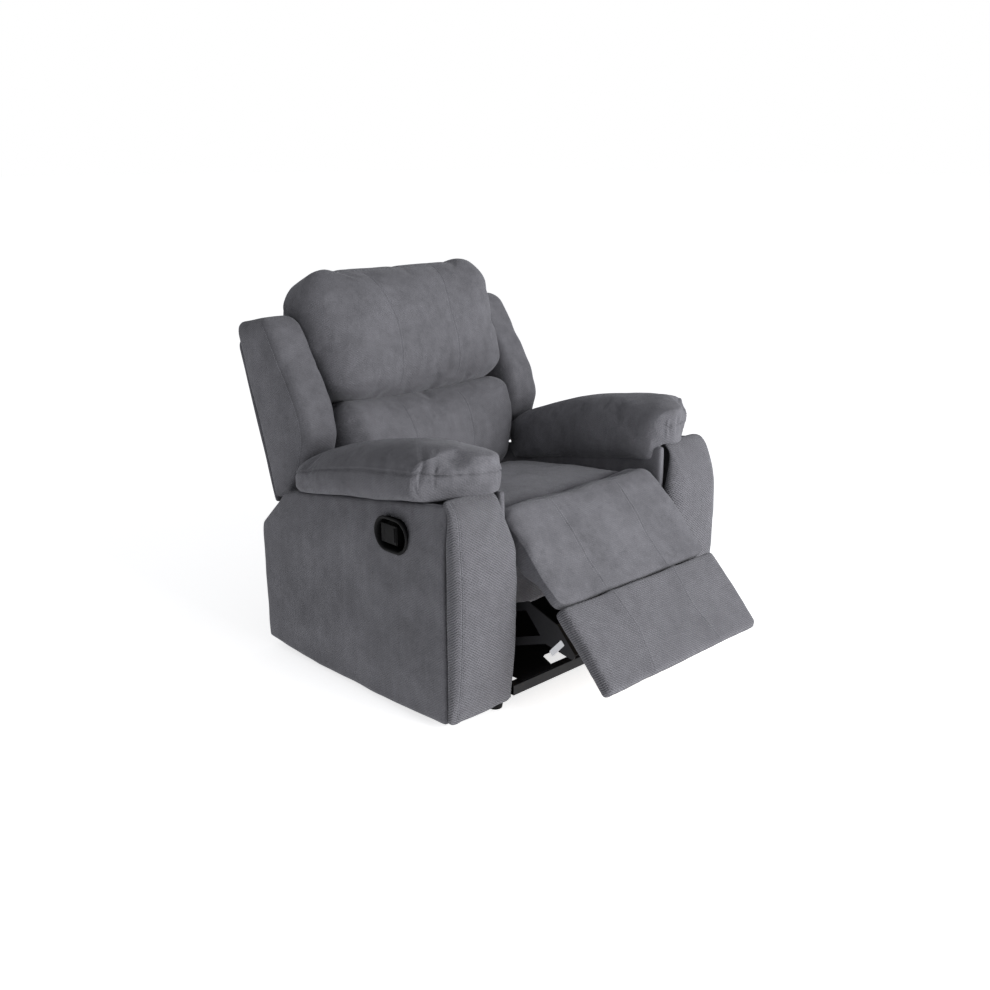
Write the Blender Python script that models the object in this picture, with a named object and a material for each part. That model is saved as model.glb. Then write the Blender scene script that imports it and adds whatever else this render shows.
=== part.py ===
"""Recliner armchair: padded arms on a steel base, a seat on swinging rockers, a reclining back with two wings,
and a footrest on a parallel linkage, freed by a pull latch in the right arm.

Metres, +Z up. The chair faces -Y, and its left and right are the sitter's, so right is -X.
Profiles are drawn side on as (y, z), with y counted from the arms' front plane towards the rear.
"""

import math

import bmesh
import bpy
from mathutils import Matrix, Vector

# Overall layout
ARM_FRONT = -0.3232  # Y of the arms' front plane, which puts the origin under the middle of the chair
ARM_OUTER = 0.485  # half the width over the two arms
ARM_INNER = 0.285  # half the gap between the arms
ARM_DEPTH = 0.748
GAP = 0.0005  # left between pieces that touch

# Steel base
FOOT_HEIGHT = 0.026
SHEET = 0.003  # thickness of every steel plate and link
RAIL_TOP = 0.085
FOOT_YS = (0.045, 0.690)
CROSS_TUBE_YS = (0.005, 0.640)
CROSS_TUBE = 0.025
TUBE_WALL = 0.002

# Layers of the mechanism, as the distance of each plate's outer face from the middle of the chair
RAIL_LAYER = 0.284
ROCKER_LAYER = 0.280
PLATE_LAYER = 0.276
CRANK_LAYER = 0.272
BAR_LAYER = 0.268
PIN_RADIUS = 0.005
HOLE_RADIUS = 0.0056
HEAD_RADIUS = 0.008
LINK_HALF = 0.011  # half the width of a link
ROUND = 12  # sides of a small round piece

# Rockers that carry the seat
ROCKER_LENGTH = 0.100
ROCKER_LEAN = math.radians(14.5)  # back from upright at rest
ROCKER_YS = (0.150, 0.520)
ROCKER_Z = 0.062

# Footrest: its board is laid out from the centre that it turns about, down its length u and out of its face n
TURN = Vector((-0.083, 0.438))
BOARD_ANGLE = math.radians(46.0)  # below level, at rest
DOWN = Vector((-math.cos(BOARD_ANGLE), -math.sin(BOARD_ANGLE)))
OUT = Vector((-math.sin(BOARD_ANGLE), math.cos(BOARD_ANGLE)))
LINK_SLOPE = 0.361  # fall of the pivot line from the turning centre, per metre to the rear
CRANK_YS = (0.130, 0.360)  # front and rear crank pivots
PIN_STANDOFF = -0.149  # n of the two pins on a footrest bracket
PIN_US = (0.081, 0.173)
BOARD_U = (0.146, 0.352)
BOARD_N = (-0.0915, -0.0765)
BOARD_HALF = 0.260
PAD_U = (0.142, 0.362)
PAD_N = (-0.0755, -0.034)
PAD_HALF = 0.277

# Seat
SEAT_HALF = 0.278
BOX_HALF = 0.245
BOX_Y = (0.035, 0.600)
DECK_FRONT = 0.385  # top of the seat box at its front
DECK_FALL = 0.105  # fall of the seat box per metre to the rear
BOX_DEPTH = 0.055
BOARD = 0.020  # thickness of a wooden rail
SPRING_XS = (-0.150, 0.0, 0.150)
SPRING_WIRE = 0.0018

# Back, laid out from a point on its rear face: s runs up the back, t forward through it
BACK_ANGLE = math.radians(18.0)
BACK_FOOT = Vector((0.785, 0.397))
UP = Vector((math.sin(BACK_ANGLE), math.cos(BACK_ANGLE)))
FORWARD = Vector((-math.cos(BACK_ANGLE), math.sin(BACK_ANGLE)))
RECLINE_PIVOT = Vector((0.660, 0.270))
POST_X = (0.232, 0.2685)
REAR_PANEL = 0.0125
WING = (0.318, 0.428)
CUSHION_HALF = 0.312
LUMBAR_HALF = 0.266

# Release latch
CUP_CENTRE = Vector((0.203, 0.447))
CUP_HALF = (0.055, 0.038)
CUP_DEPTH = 0.034
CUP_WALL = 0.0025
BEZEL = 0.004
PADDLE_HALF = 0.024
PADDLE_HINGE = CUP_CENTRE.x + 0.037
PADDLE_DEPTH = 0.007  # from the arm's outer face in to the paddle's hinge


def material(name, colour, roughness, metallic=0.0):
    """A Principled BSDF material of one colour."""
    made = bpy.data.materials.new(name)
    made.use_nodes = True
    shader = made.node_tree.nodes["Principled BSDF"]
    shader.inputs["Base Color"].default_value = (*colour, 1.0)
    shader.inputs["Roughness"].default_value = roughness
    shader.inputs["Metallic"].default_value = metallic
    return made


def finish(bm, name, dress, smooth=None):
    """Turns a bmesh into an object with outward faces."""
    bmesh.ops.remove_doubles(bm, verts=bm.verts, dist=1e-6)
    bmesh.ops.recalc_face_normals(bm, faces=bm.faces)
    mesh = bpy.data.meshes.new(name)
    bm.to_mesh(mesh)
    bm.free()
    if smooth:
        mesh.shade_smooth()
        mesh.set_sharp_from_angle(angle=math.radians(smooth))
    mesh.materials.append(dress)
    made = bpy.data.objects.new(name, mesh)
    bpy.context.scene.collection.objects.link(made)
    return made


def place(x, point):
    """The point of the scene for a distance across and a (y, z) of a profile."""
    return Vector((x, ARM_FRONT + point[0], point[1]))


def side_name(stem, side):
    return f"{stem}_{'left' if side > 0 else 'right'}"


def add_prism(bm, outline, x_low, x_high):
    """A side-on outline pushed across from x_low to x_high."""
    face = bm.faces.new([bm.verts.new(place(x_low, p)) for p in outline])
    pushed = bmesh.ops.extrude_face_region(bm, geom=[face])
    moved = [v for v in pushed["geom"] if isinstance(v, bmesh.types.BMVert)]
    bmesh.ops.translate(bm, verts=moved, vec=(x_high - x_low, 0, 0))


def prism(name, outline, x_low, x_high, dress, bevel=0.0):
    bm = bmesh.new()
    add_prism(bm, outline, x_low, x_high)
    if bevel:
        bmesh.ops.recalc_face_normals(bm, faces=bm.faces)
        rims = [e for e in bm.edges if abs(e.verts[0].co.x - e.verts[1].co.x) < 1e-6]
        bmesh.ops.bevel(bm, geom=rims, offset=bevel, segments=2, profile=0.5, affect="EDGES", clamp_overlap=True)
    return finish(bm, name, dress, 40 if bevel else None)


def box(name, xs, ys, zs, dress):
    corners = [(ys[0], zs[0]), (ys[1], zs[0]), (ys[1], zs[1]), (ys[0], zs[1])]
    return prism(name, corners, xs[0], xs[1], dress)


def rod(name, x_low, x_high, centre, radius, dress, sides=ROUND):
    """A round bar lying across the chair."""
    bm = bmesh.new()
    middle = place((x_low + x_high) / 2, centre)
    lay = Matrix.Translation(middle) @ Matrix.Rotation(math.pi / 2, 4, "Y")
    bmesh.ops.create_cone(bm, cap_ends=True, segments=sides, radius1=radius, radius2=radius,
                          depth=x_high - x_low, matrix=lay)
    return finish(bm, name, dress, 40)


def combine(target, tool, operation):
    """A Boolean with a helper that isn't a piece itself."""
    tool.hide_render = True
    tool.display_type = "WIRE"
    tool.parent = target
    step = target.modifiers.new(operation.title(), "BOOLEAN")
    step.operation = operation
    step.object = tool


def drill(target, x_low, x_high, centre, radius=HOLE_RADIUS):
    combine(target, rod(target.name + ".hole", x_low, x_high, centre, radius, target.active_material), "DIFFERENCE")


def add_pin(target, side, face, tip, centre, radius=PIN_RADIUS):
    """A riveted pin from inside the plate at face to tip, both as distances from the middle."""
    x_low, x_high = sorted((side * face, side * tip))
    combine(target, rod(target.name + ".pin", x_low, x_high, centre, radius, target.active_material), "UNION")


def arc(centre, radius, start, end, count):
    """Points on an arc, angles in degrees from +y towards +z."""
    steps = [math.radians(start + (end - start) * i / count) for i in range(count + 1)]
    return [Vector((centre[0] + radius * math.cos(a), centre[1] + radius * math.sin(a))) for a in steps]


def hull_of_circles(circles, count=6):
    """The outline around circles given as (centre, radius), in counter-clockwise order."""
    outline = []
    for i, (centre, radius) in enumerate(circles):
        before = circles[i - 1][0]
        after = circles[(i + 1) % len(circles)][0]
        start = math.degrees(math.atan2(*(centre - before).yx)) - 90
        end = math.degrees(math.atan2(*(after - centre).yx)) - 90
        while end < start:
            end += 360
        outline += arc(centre, radius, start, end, count)
    return outline


def link(name, side, layer, centres, dress, radius=LINK_HALF):
    """A flat steel link of one SHEET whose rounded corners stand at centres."""
    x_low, x_high = sorted((side * layer, side * (layer - SHEET)))
    return prism(name, hull_of_circles([(c, radius) for c in centres]), x_low, x_high, dress)


def drill_link(piece, side, layer, centre):
    x_low, x_high = sorted((side * (layer + 0.002), side * (layer - SHEET - 0.002)))
    drill(piece, x_low, x_high, centre)


def board_point(u, n):
    return TURN + DOWN * u + OUT * n


def back_point(s, t):
    return BACK_FOOT + UP * s + FORWARD * t


def deck(y):
    """Height of the seat box's top."""
    return DECK_FRONT - DECK_FALL * (y - BOX_Y[0])


def loft(name, sections, dress, corner=0.6, sides=20):
    """A soft closed form through sections of (centre, half width, edge direction, half thickness).

    Each section is a rounded rectangle across the chair, whose thickness runs along its edge direction.
    """
    bm = bmesh.new()
    rings = []
    for x_mid, centre, half_width, direction, half_depth in sections:
        ring = []
        for i in range(sides):
            a = 2 * math.pi * (i + 0.5) / sides
            cx = math.copysign(abs(math.cos(a)) ** corner, math.cos(a)) * half_width
            cd = math.copysign(abs(math.sin(a)) ** corner, math.sin(a)) * half_depth
            ring.append(bm.verts.new(place(x_mid + cx, centre + direction * cd)))
        rings.append(ring)
    for first, second in zip(rings, rings[1:]):
        for i in range(sides):
            j = (i + 1) % sides
            bm.faces.new((first[i], first[j], second[j], second[i]))
    bm.faces.new(rings[0])
    bm.faces.new(rings[-1])
    return finish(bm, name, dress, 50)


# ---------------------------------------------------------------- base


def make_foot(name, side, y, plastic):
    bm = bmesh.new()
    centre = place(side * 0.306, (y, FOOT_HEIGHT / 2))
    bmesh.ops.create_cone(bm, cap_ends=True, segments=20, radius1=0.018, radius2=0.022,
                          depth=FOOT_HEIGHT, matrix=Matrix.Translation(centre))
    return finish(bm, name, plastic, 40)


def make_base(steel, plastic):
    for side in (-1, 1):
        rail_low = FOOT_HEIGHT + GAP
        x_low, x_high = sorted((side * (RAIL_LAYER - SHEET), side * RAIL_LAYER))
        rail = box(side_name("base_rail", side), (x_low, x_high), (0.015, 0.715), (rail_low, RAIL_TOP), steel)
        sole_low, sole_high = sorted((side * (RAIL_LAYER - SHEET / 2), side * 0.330))
        sole = box(rail.name + ".sole", (sole_low, sole_high), (0.015, 0.715), (rail_low, rail_low + SHEET), steel)
        combine(rail, sole, "UNION")
        for y in ROCKER_YS:
            add_pin(rail, side, RAIL_LAYER - SHEET / 2, ROCKER_LAYER - SHEET - GAP, (y, ROCKER_Z))
        for y, end in zip(FOOT_YS, ("front", "rear")):
            make_foot(side_name(f"foot_{end}", side), side, y, plastic)
    reach = RAIL_LAYER - SHEET - GAP
    for y, end in zip(CROSS_TUBE_YS, ("front", "rear")):
        low = 0.034
        y_low = y - CROSS_TUBE / 2 + 0.013
        tube = box(f"cross_tube_{end}", (-reach, reach), (y_low, y_low + CROSS_TUBE), (low, low + CROSS_TUBE), steel)
        bore = box(tube.name + ".bore", (-0.3, 0.3), (y_low + TUBE_WALL, y_low + CROSS_TUBE - TUBE_WALL),
                   (low + TUBE_WALL, low + CROSS_TUBE - TUBE_WALL), steel)
        combine(tube, bore, "DIFFERENCE")


# ---------------------------------------------------------------- arms


def pad_underside(y):
    """Height of the arm's top edge under its pad."""
    return 0.556 - 0.155 * y


def arm_side_outline(front):
    sole = FOOT_HEIGHT + 2 * GAP + SHEET
    return [
        Vector((front, sole)),
        Vector((ARM_DEPTH - 0.013, sole)),
        Vector((ARM_DEPTH, 0.348)),
        Vector((0.655, 0.448)),
        Vector((0.620, pad_underside(0.620))),
        Vector((0.060, pad_underside(0.060))),
        Vector((front, 0.515)),
    ]


def arm_front_outline():
    """The padded front of an arm, which swells forwards as it rises and rolls back under the pad."""
    sole = FOOT_HEIGHT + 2 * GAP + SHEET
    back = [(0.024, sole), (0.024, 0.5155), (0.055, 0.5440)]
    roll = [(0.050, 0.5465), (0.028, 0.536), (0.004, 0.515), (-0.016, 0.480)]
    face = [(-0.028, 0.425), (-0.031, 0.350), (-0.028, 0.260), (-0.021, 0.160), (-0.006, sole + 0.006), (0.0, sole)]
    return [Vector(p) for p in back + roll + face]


def make_arm(side, fabric):
    wall = 0.020
    front = 0.024 + GAP
    outer_low, outer_high = sorted((side * (ARM_OUTER - wall), side * ARM_OUTER))
    outer = prism(side_name("arm_outer_panel", side), arm_side_outline(front), outer_low, outer_high, fabric)
    if side < 0:
        cutter = prism(outer.name + ".cup_hole", cup_outline(CUP_WALL - 0.0008), outer_low - 0.01, outer_high + 0.01,
                       fabric)
        combine(outer, cutter, "DIFFERENCE")
    inner_low, inner_high = sorted((side * ARM_INNER, side * (ARM_INNER + wall)))
    inner = [p if p.y > 0.2 else Vector((p.x, 0.235)) for p in arm_side_outline(front)]
    inner[1] = Vector((ARM_DEPTH - 0.005, 0.235))
    prism(side_name("arm_inner_panel", side), inner, inner_low, inner_high, fabric)
    across = sorted((side * ARM_INNER, side * ARM_OUTER))
    prism(side_name("arm_front_border", side), arm_front_outline(), across[0], across[1], fabric, 0.006)
    between = sorted((side * (ARM_INNER + wall + GAP), side * (ARM_OUTER - wall - GAP)))
    rear = [Vector((ARM_DEPTH - 0.013, 0.031)), Vector((ARM_DEPTH, 0.347)), Vector((0.656, 0.446)),
            Vector((0.645, 0.434)), Vector((ARM_DEPTH - 0.016, 0.340)), Vector((ARM_DEPTH - 0.029, 0.031))]
    prism(side_name("arm_rear_border", side), rear, between[0], between[1], fabric)
    make_arm_pad(side, fabric)


def make_arm_pad(side, fabric):
    middle = side * 0.386
    lift = Vector((0, 1))
    stations = [  # y, top, half width
        (-0.058, 0.612, 0.060),
        (-0.046, 0.636, 0.092),
        (-0.010, 0.656, 0.108),
        (0.060, 0.665, 0.112),
        (0.160, 0.659, 0.113),
        (0.300, 0.638, 0.113),
        (0.450, 0.602, 0.112),
        (0.560, 0.566, 0.110),
        (0.615, 0.536, 0.102),
        (0.632, 0.510, 0.080),
    ]
    sections = []
    for y, top, half in stations:
        low = pad_underside(y) + GAP + max(0.0, (0.03 - y) * 0.35)
        sections.append((middle, Vector((y, (top + low) / 2)), half, lift, (top - low) / 2))
    loft(side_name("arm_pad", side), sections, fabric)


# ---------------------------------------------------------------- release latch


def cup_outline(grow):
    """The cup's outline: two half-round ends joined by straight edges."""
    radius = CUP_HALF[1] + grow
    reach = CUP_HALF[0] - CUP_HALF[1]
    front = Vector((CUP_CENTRE.x - reach, CUP_CENTRE.y))
    rear = Vector((CUP_CENTRE.x + reach, CUP_CENTRE.y))
    return arc(rear, radius, -90, 90, 8) + arc(front, radius, 90, 270, 8)


def make_latch(plastic, rubber):
    face = -ARM_OUTER
    cup = prism("release_cup", cup_outline(0.006), face - BEZEL, face - GAP, plastic)
    bowl = prism("release_cup.bowl", cup_outline(0.0), face - 0.001, face + CUP_DEPTH, plastic)
    combine(cup, bowl, "UNION")
    hollow = prism("release_cup.hollow", cup_outline(-CUP_WALL), face - BEZEL - 0.01, face + CUP_DEPTH - CUP_WALL,
                   plastic)
    combine(cup, hollow, "DIFFERENCE")
    rear = PADDLE_HINGE + 0.003
    paddle = [(rear, face + 0.010), (rear, face + 0.004), (rear - 0.052, face - 0.001), (rear - 0.060, face + 0.003),
              (rear - 0.060, face + 0.024), (rear - 0.055, face + 0.024), (rear - 0.054, face + 0.006)]
    bm = bmesh.new()
    base = bm.faces.new([bm.verts.new(place(x, (y, CUP_CENTRE.y - PADDLE_HALF))) for y, x in paddle])
    pushed = bmesh.ops.extrude_face_region(bm, geom=[base])
    moved = [v for v in pushed["geom"] if isinstance(v, bmesh.types.BMVert)]
    bmesh.ops.translate(bm, verts=moved, vec=(0, 0, 2 * PADDLE_HALF))
    finish(bm, "release_paddle", plastic)
    make_cable(face + CUP_DEPTH, rubber)


def make_cable(start_x, rubber):
    """The release cable, from the back of the cup down inside the arm and under its inner panel to the base rail."""
    route = [
        (start_x + GAP, CUP_CENTRE),
        (start_x + 0.030, CUP_CENTRE + Vector((0.005, -0.004))),
        (start_x + 0.052, CUP_CENTRE + Vector((0.020, -0.050))),
        (start_x + 0.058, Vector((0.235, 0.330))),
        (start_x + 0.066, Vector((0.250, 0.245))),
        (start_x + 0.092, Vector((0.262, 0.175))),
        (start_x + 0.130, Vector((0.270, 0.125))),
        (-RAIL_LAYER - 0.012, Vector((0.275, 0.100))),
        (-RAIL_LAYER - 0.006, Vector((0.276, 0.088))),
    ]
    points = [place(x, p) for x, p in route]
    curve = bpy.data.curves.new("release_cable", "CURVE")
    curve.dimensions = "3D"
    smooth = []
    for i in range(len(points) - 1):
        a, b = points[max(i - 1, 0)], points[i]
        c, d = points[i + 1], points[min(i + 2, len(points) - 1)]
        for step in range(4):
            t = step / 4
            smooth.append(0.5 * (2 * b + (c - a) * t + (2 * a - 5 * b + 4 * c - d) * t * t
                                 + (3 * b - 3 * c + d - a) * t ** 3))
    smooth.append(points[-1])
    spline = curve.splines.new("POLY")
    spline.points.add(len(smooth) - 1)
    for target, p in zip(spline.points, smooth):
        target.co = (*p, 1.0)
    curve.bevel_depth = 0.0028
    curve.bevel_resolution = 2
    curve.use_fill_caps = True
    curve.materials.append(rubber)
    cable = bpy.data.objects.new("release_cable", curve)
    bpy.context.scene.collection.objects.link(cable)


# ---------------------------------------------------------------- seat and its rockers


def rocker_ends(y):
    foot = Vector((y, ROCKER_Z))
    head = foot + ROCKER_LENGTH * Vector((math.sin(ROCKER_LEAN), math.cos(ROCKER_LEAN)))
    return foot, head


def make_rockers(steel):
    for side in (-1, 1):
        for y, end in zip(ROCKER_YS, ("front", "rear")):
            ends = rocker_ends(y)
            rocker = link(side_name(f"rocker_{end}", side), side, ROCKER_LAYER, ends, steel)
            for centre in ends:
                drill_link(rocker, side, ROCKER_LAYER, centre)


def crank_pivots():
    return [Vector((y, TURN.y - LINK_SLOPE * (y - TURN.x))) for y in CRANK_YS]


def make_side_plates(steel):
    front_crank, rear_crank = crank_pivots()
    front_head, rear_head = (rocker_ends(y)[1] for y in ROCKER_YS)
    spacers = [Vector((0.250, 0.334)), Vector((0.480, 0.311))]
    corners = [front_head, rear_head, RECLINE_PIVOT, Vector((0.500, 0.318)), front_crank]
    outline = hull_of_circles(list(zip(corners, (0.014, 0.014, 0.016, 0.014, 0.015))), 4)
    for side in (-1, 1):
        x_low, x_high = sorted((side * PLATE_LAYER, side * (PLATE_LAYER - SHEET)))
        plate = prism(side_name("seat_side_plate", side), outline, x_low, x_high, steel)
        core = PLATE_LAYER - SHEET / 2
        for head in (front_head, rear_head):
            add_pin(plate, side, core, ROCKER_LAYER + GAP, head)
        for pivot in (front_crank, rear_crank):
            add_pin(plate, side, core, CRANK_LAYER - SHEET - GAP, pivot)
        add_pin(plate, side, core, CRANK_LAYER - SHEET - GAP, RECLINE_PIVOT, 0.006)
        for spacer in spacers:
            add_pin(plate, side, core, BOX_HALF + GAP, spacer, 0.009)


def make_seat(wood, steel, fabric):
    make_side_plates(steel)
    for side in (-1, 1):
        ys = BOX_Y
        outline = [Vector((ys[0], deck(ys[0]) - BOX_DEPTH)), Vector((ys[1], deck(ys[1]) - BOX_DEPTH)),
                   Vector((ys[1], deck(ys[1]))), Vector((ys[0], deck(ys[0])))]
        across = sorted((side * (BOX_HALF - BOARD), side * BOX_HALF))
        prism(side_name("seat_side_rail", side), outline, across[0], across[1], wood)
    reach = BOX_HALF - BOARD - GAP
    for y, end in ((BOX_Y[0], "front"), (BOX_Y[1] - BOARD, "rear")):
        rail = [Vector((y, deck(y) - BOX_DEPTH)), Vector((y + BOARD, deck(y + BOARD) - BOX_DEPTH)),
                Vector((y + BOARD, deck(y + BOARD) - 0.010)), Vector((y, deck(y) - 0.010))]
        prism(f"seat_{end}_rail", rail, -reach, reach, wood)
    for count, x in enumerate(SPRING_XS, 1):
        make_sinuous_spring(f"sinuous_spring_{count}", x, steel)
    make_seat_cushion(fabric)


def make_sinuous_spring(name, x, steel):
    """A zigzag wire spring from the front rail to the rear rail, just above them."""
    start, end = BOX_Y[0] + 0.010, BOX_Y[1] - 0.010
    waves, amplitude, per_wave = 9, 0.022, 8
    curve = bpy.data.curves.new(name, "CURVE")
    curve.dimensions = "3D"
    spline = curve.splines.new("POLY")
    count = waves * per_wave + 1
    spline.points.add(count - 1)
    for i in range(count):
        share = i / (count - 1)
        y = start + (end - start) * share
        swing = amplitude * math.sin(2 * math.pi * waves * share)
        rise = deck(y) - 0.010 + GAP + SPRING_WIRE + 0.0012
        spline.points[i].co = (*place(x + swing, (y, rise)), 1.0)
    curve.bevel_depth = SPRING_WIRE
    curve.bevel_resolution = 1
    curve.use_fill_caps = True
    curve.materials.append(steel)
    made = bpy.data.objects.new(name, curve)
    bpy.context.scene.collection.objects.link(made)


def make_seat_cushion(fabric):
    lift = Vector((0, 1))
    tops = [(0.128, 0.440), (0.140, 0.452), (0.200, 0.462), (0.300, 0.464), (0.420, 0.452), (0.520, 0.436),
            (0.575, 0.420), (0.592, 0.404)]
    sections = []
    for y, top in tops:
        low = deck(y) + GAP
        sections.append((0.0, Vector((y, (top + low) / 2)), SEAT_HALF, lift, (top - low) / 2))
    loft("seat_cushion", sections, fabric, 0.35, 24)


def make_chaise(fabric):
    """The pad that bridges from the seat's front edge to the footrest."""
    outline = [
        Vector((0.1265, deck(0.1265) + GAP)),
        Vector((0.1265, 0.462)),
        Vector((0.110, 0.492)),
        Vector((0.080, 0.512)),
        Vector((0.048, 0.513)),
        Vector((0.012, 0.490)),
        board_point(0.138, -0.036),
        board_point(0.138, -0.088),
        Vector((-0.025, 0.335)),
        Vector((0.030, DECK_FRONT + GAP)),
    ]
    prism("chaise_pad", outline, -PAD_HALF, PAD_HALF, fabric, 0.008)


# ---------------------------------------------------------------- footrest and its linkage


def make_footrest(wood, steel, fabric):
    board = [board_point(BOARD_U[0], BOARD_N[0]), board_point(BOARD_U[1], BOARD_N[0]),
             board_point(BOARD_U[1], BOARD_N[1]), board_point(BOARD_U[0], BOARD_N[1])]
    prism("footrest_board", board, -BOARD_HALF, BOARD_HALF, wood)
    sections = []
    us = (PAD_U[0], PAD_U[0] + 0.006, PAD_U[0] + 0.05, PAD_U[1] - 0.05, PAD_U[1] - 0.006, PAD_U[1])
    tops = (PAD_N[1] - 0.014, PAD_N[1] - 0.002, PAD_N[1] + 0.008, PAD_N[1] + 0.006, PAD_N[1] - 0.004, PAD_N[1] - 0.014)
    for u, top in zip(us, tops):
        sections.append((0.0, board_point(u, (top + PAD_N[0]) / 2), PAD_HALF, OUT, (top - PAD_N[0]) / 2))
    loft("footrest_pad", sections, fabric, 0.3, 24)
    plate_outline = hull_of_circles([
        (board_point(0.165, BOARD_N[0] - 0.0115), 0.010),
        (board_point(0.238, BOARD_N[0] - 0.0115), 0.010),
        (board_point(PIN_US[1], PIN_STANDOFF), 0.012),
        (board_point(PIN_US[0], PIN_STANDOFF), 0.012),
    ], 4)
    flange = [board_point(0.160, BOARD_N[0] - GAP), board_point(0.160, BOARD_N[0] - GAP - SHEET),
              board_point(0.243, BOARD_N[0] - GAP - SHEET), board_point(0.243, BOARD_N[0] - GAP)]
    for side in (-1, 1):
        x_low, x_high = sorted((side * CRANK_LAYER, side * (CRANK_LAYER - SHEET)))
        bracket = prism(side_name("footrest_bracket", side), plate_outline, x_low, x_high, steel)
        across = sorted((side * CRANK_LAYER, side * 0.235))
        foot = prism(bracket.name + ".flange", flange, across[0], across[1], steel)
        combine(bracket, foot, "UNION")
        for u in PIN_US:
            add_pin(bracket, side, CRANK_LAYER - SHEET / 2, BAR_LAYER - SHEET - GAP, board_point(u, PIN_STANDOFF))


def make_linkage(steel):
    arms = [board_point(u, PIN_STANDOFF) - TURN for u in PIN_US]
    pivots = crank_pivots()
    for side in (-1, 1):
        for pivot, end in zip(pivots, ("front", "rear")):
            crank = link(side_name(f"crank_{end}", side), side, CRANK_LAYER,
                         [pivot, pivot + arms[1], pivot + arms[0]], steel, 0.012)
            drill_link(crank, side, CRANK_LAYER, pivot)
            for reach in arms:
                add_pin(crank, side, CRANK_LAYER - SHEET / 2, BAR_LAYER - SHEET - GAP, pivot + reach)
        for reach, level in zip(arms, ("upper", "lower")):
            ends = [TURN + reach, pivots[1] + reach]
            bar = link(side_name(f"link_bar_{level}", side), side, BAR_LAYER, ends, steel, 0.010)
            for pivot in [TURN, *pivots]:
                drill_link(bar, side, BAR_LAYER, pivot + reach)
    reach = CRANK_LAYER - SHEET - GAP - 0.0005
    rod("drive_tube", -reach, reach, pivots[1], 0.010, steel)


# ---------------------------------------------------------------- back


def back_profile(points):
    return [back_point(s, t) for s, t in points]


def make_back(wood, steel, fabric):
    for side in (-1, 1):
        across = sorted((side * POST_X[0], side * POST_X[1]))
        post = back_profile([(-0.060, 0.0135), (0.470, 0.0135), (0.470, 0.048), (-0.060, 0.048)])
        prism(side_name("back_post", side), post, across[0], across[1], wood)
        outline = hull_of_circles([
            (RECLINE_PIVOT, 0.018),
            (back_point(-0.075, 0.030), 0.016),
            (back_point(0.090, 0.030), 0.012),
            (back_point(0.090, 0.035), 0.012),
        ], 4)
        x_low, x_high = sorted((side * CRANK_LAYER, side * (CRANK_LAYER - SHEET)))
        bracket = prism(side_name("back_bracket", side), outline, x_low, x_high, steel)
        drill(bracket, x_low - 0.002, x_high + 0.002, RECLINE_PIVOT, 0.0068)
        profile = [(0.000, 0.0130), (0.462, 0.0130), (0.484, 0.050), (0.480, 0.120), (0.456, 0.172), (0.390, 0.190),
                   (0.290, 0.206), (0.210, 0.214), (0.135, 0.206), (0.078, 0.160), (0.022, 0.090)]
        wing = sorted((side * WING[0], side * WING[1]))
        prism(side_name("back_wing", side), back_profile(profile), wing[0], wing[1], fabric, 0.010)
    reach = POST_X[0] - GAP
    for s, end in ((-0.040, "bottom"), (0.430, "top")):
        rail = back_profile([(s, 0.0135), (s + 0.040, 0.0135), (s + 0.040, 0.035), (s, 0.035)])
        prism(f"back_{end}_rail", rail, -reach, reach, wood)
    make_rear_panel(fabric)
    make_back_cushions(fabric)


def make_rear_panel(fabric):
    """The flat rear of the back, whose middle stands up between the two wings."""
    half = [(0.424, -0.010), (0.424, 0.430), (0.404, 0.462), (0.318, 0.468), (0.300, 0.520), (0.280, 0.532)]
    outline = half + [(-x, s) for x, s in reversed(half)]
    bm = bmesh.new()
    face = bm.faces.new([bm.verts.new(place(x, back_point(s, 0.0))) for x, s in outline])
    pushed = bmesh.ops.extrude_face_region(bm, geom=[face])
    moved = [v for v in pushed["geom"] if isinstance(v, bmesh.types.BMVert)]
    bmesh.ops.translate(bm, verts=moved, vec=Vector((0, FORWARD.x, FORWARD.y)) * REAR_PANEL)
    finish(bm, "back_rear_panel", fabric)


def make_back_cushions(fabric):
    head = [  # s, front t, half width
        (0.222, 0.205, 0.285), (0.228, 0.240, 0.302), (0.270, 0.268, CUSHION_HALF), (0.340, 0.276, CUSHION_HALF),
        (0.420, 0.270, CUSHION_HALF), (0.500, 0.250, 0.308), (0.548, 0.218, 0.298), (0.572, 0.180, 0.280),
    ]
    rear = 0.050
    sections = []
    for s, front, half in head:
        behind = rear + 0.001 + max(0.0, s - 0.500) * 0.9
        sections.append((0.0, back_point(s, (front + behind) / 2), half, FORWARD, (front - behind) / 2))
    loft("head_cushion", sections, fabric, 0.45, 24)
    lumbar = [(-0.068, 0.140, 0.250), (-0.055, 0.178, 0.262), (-0.010, 0.232, LUMBAR_HALF), (0.050, 0.268, LUMBAR_HALF),
              (0.110, 0.276, 0.280), (0.170, 0.262, 0.300), (0.210, 0.226, 0.300), (0.217, 0.190, 0.285)]
    sections = []
    for s, front, half in lumbar:
        sections.append((0.0, back_point(s, (front + rear) / 2), half, FORWARD, (front - rear) / 2))
    loft("lumbar_cushion", sections, fabric, 0.45, 24)


# ---------------------------------------------------------------- joints


def hang(name, at, stems, carrier=None):
    """Parents the pieces whose names start with stems to an empty on their joint, and that to its carrier."""
    axis = bpy.data.objects.new(name, None)
    bpy.context.scene.collection.objects.link(axis)
    axis.empty_display_size = 0.05
    axis.location = at
    if carrier:
        axis.parent = carrier
        axis.matrix_parent_inverse = Matrix.Translation(-carrier.location)
    for piece in [o for o in bpy.data.objects if o.name.startswith(stems) and not o.parent and o != axis]:
        piece.parent = axis
        piece.matrix_parent_inverse = Matrix.Translation(-at)
    return axis


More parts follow.
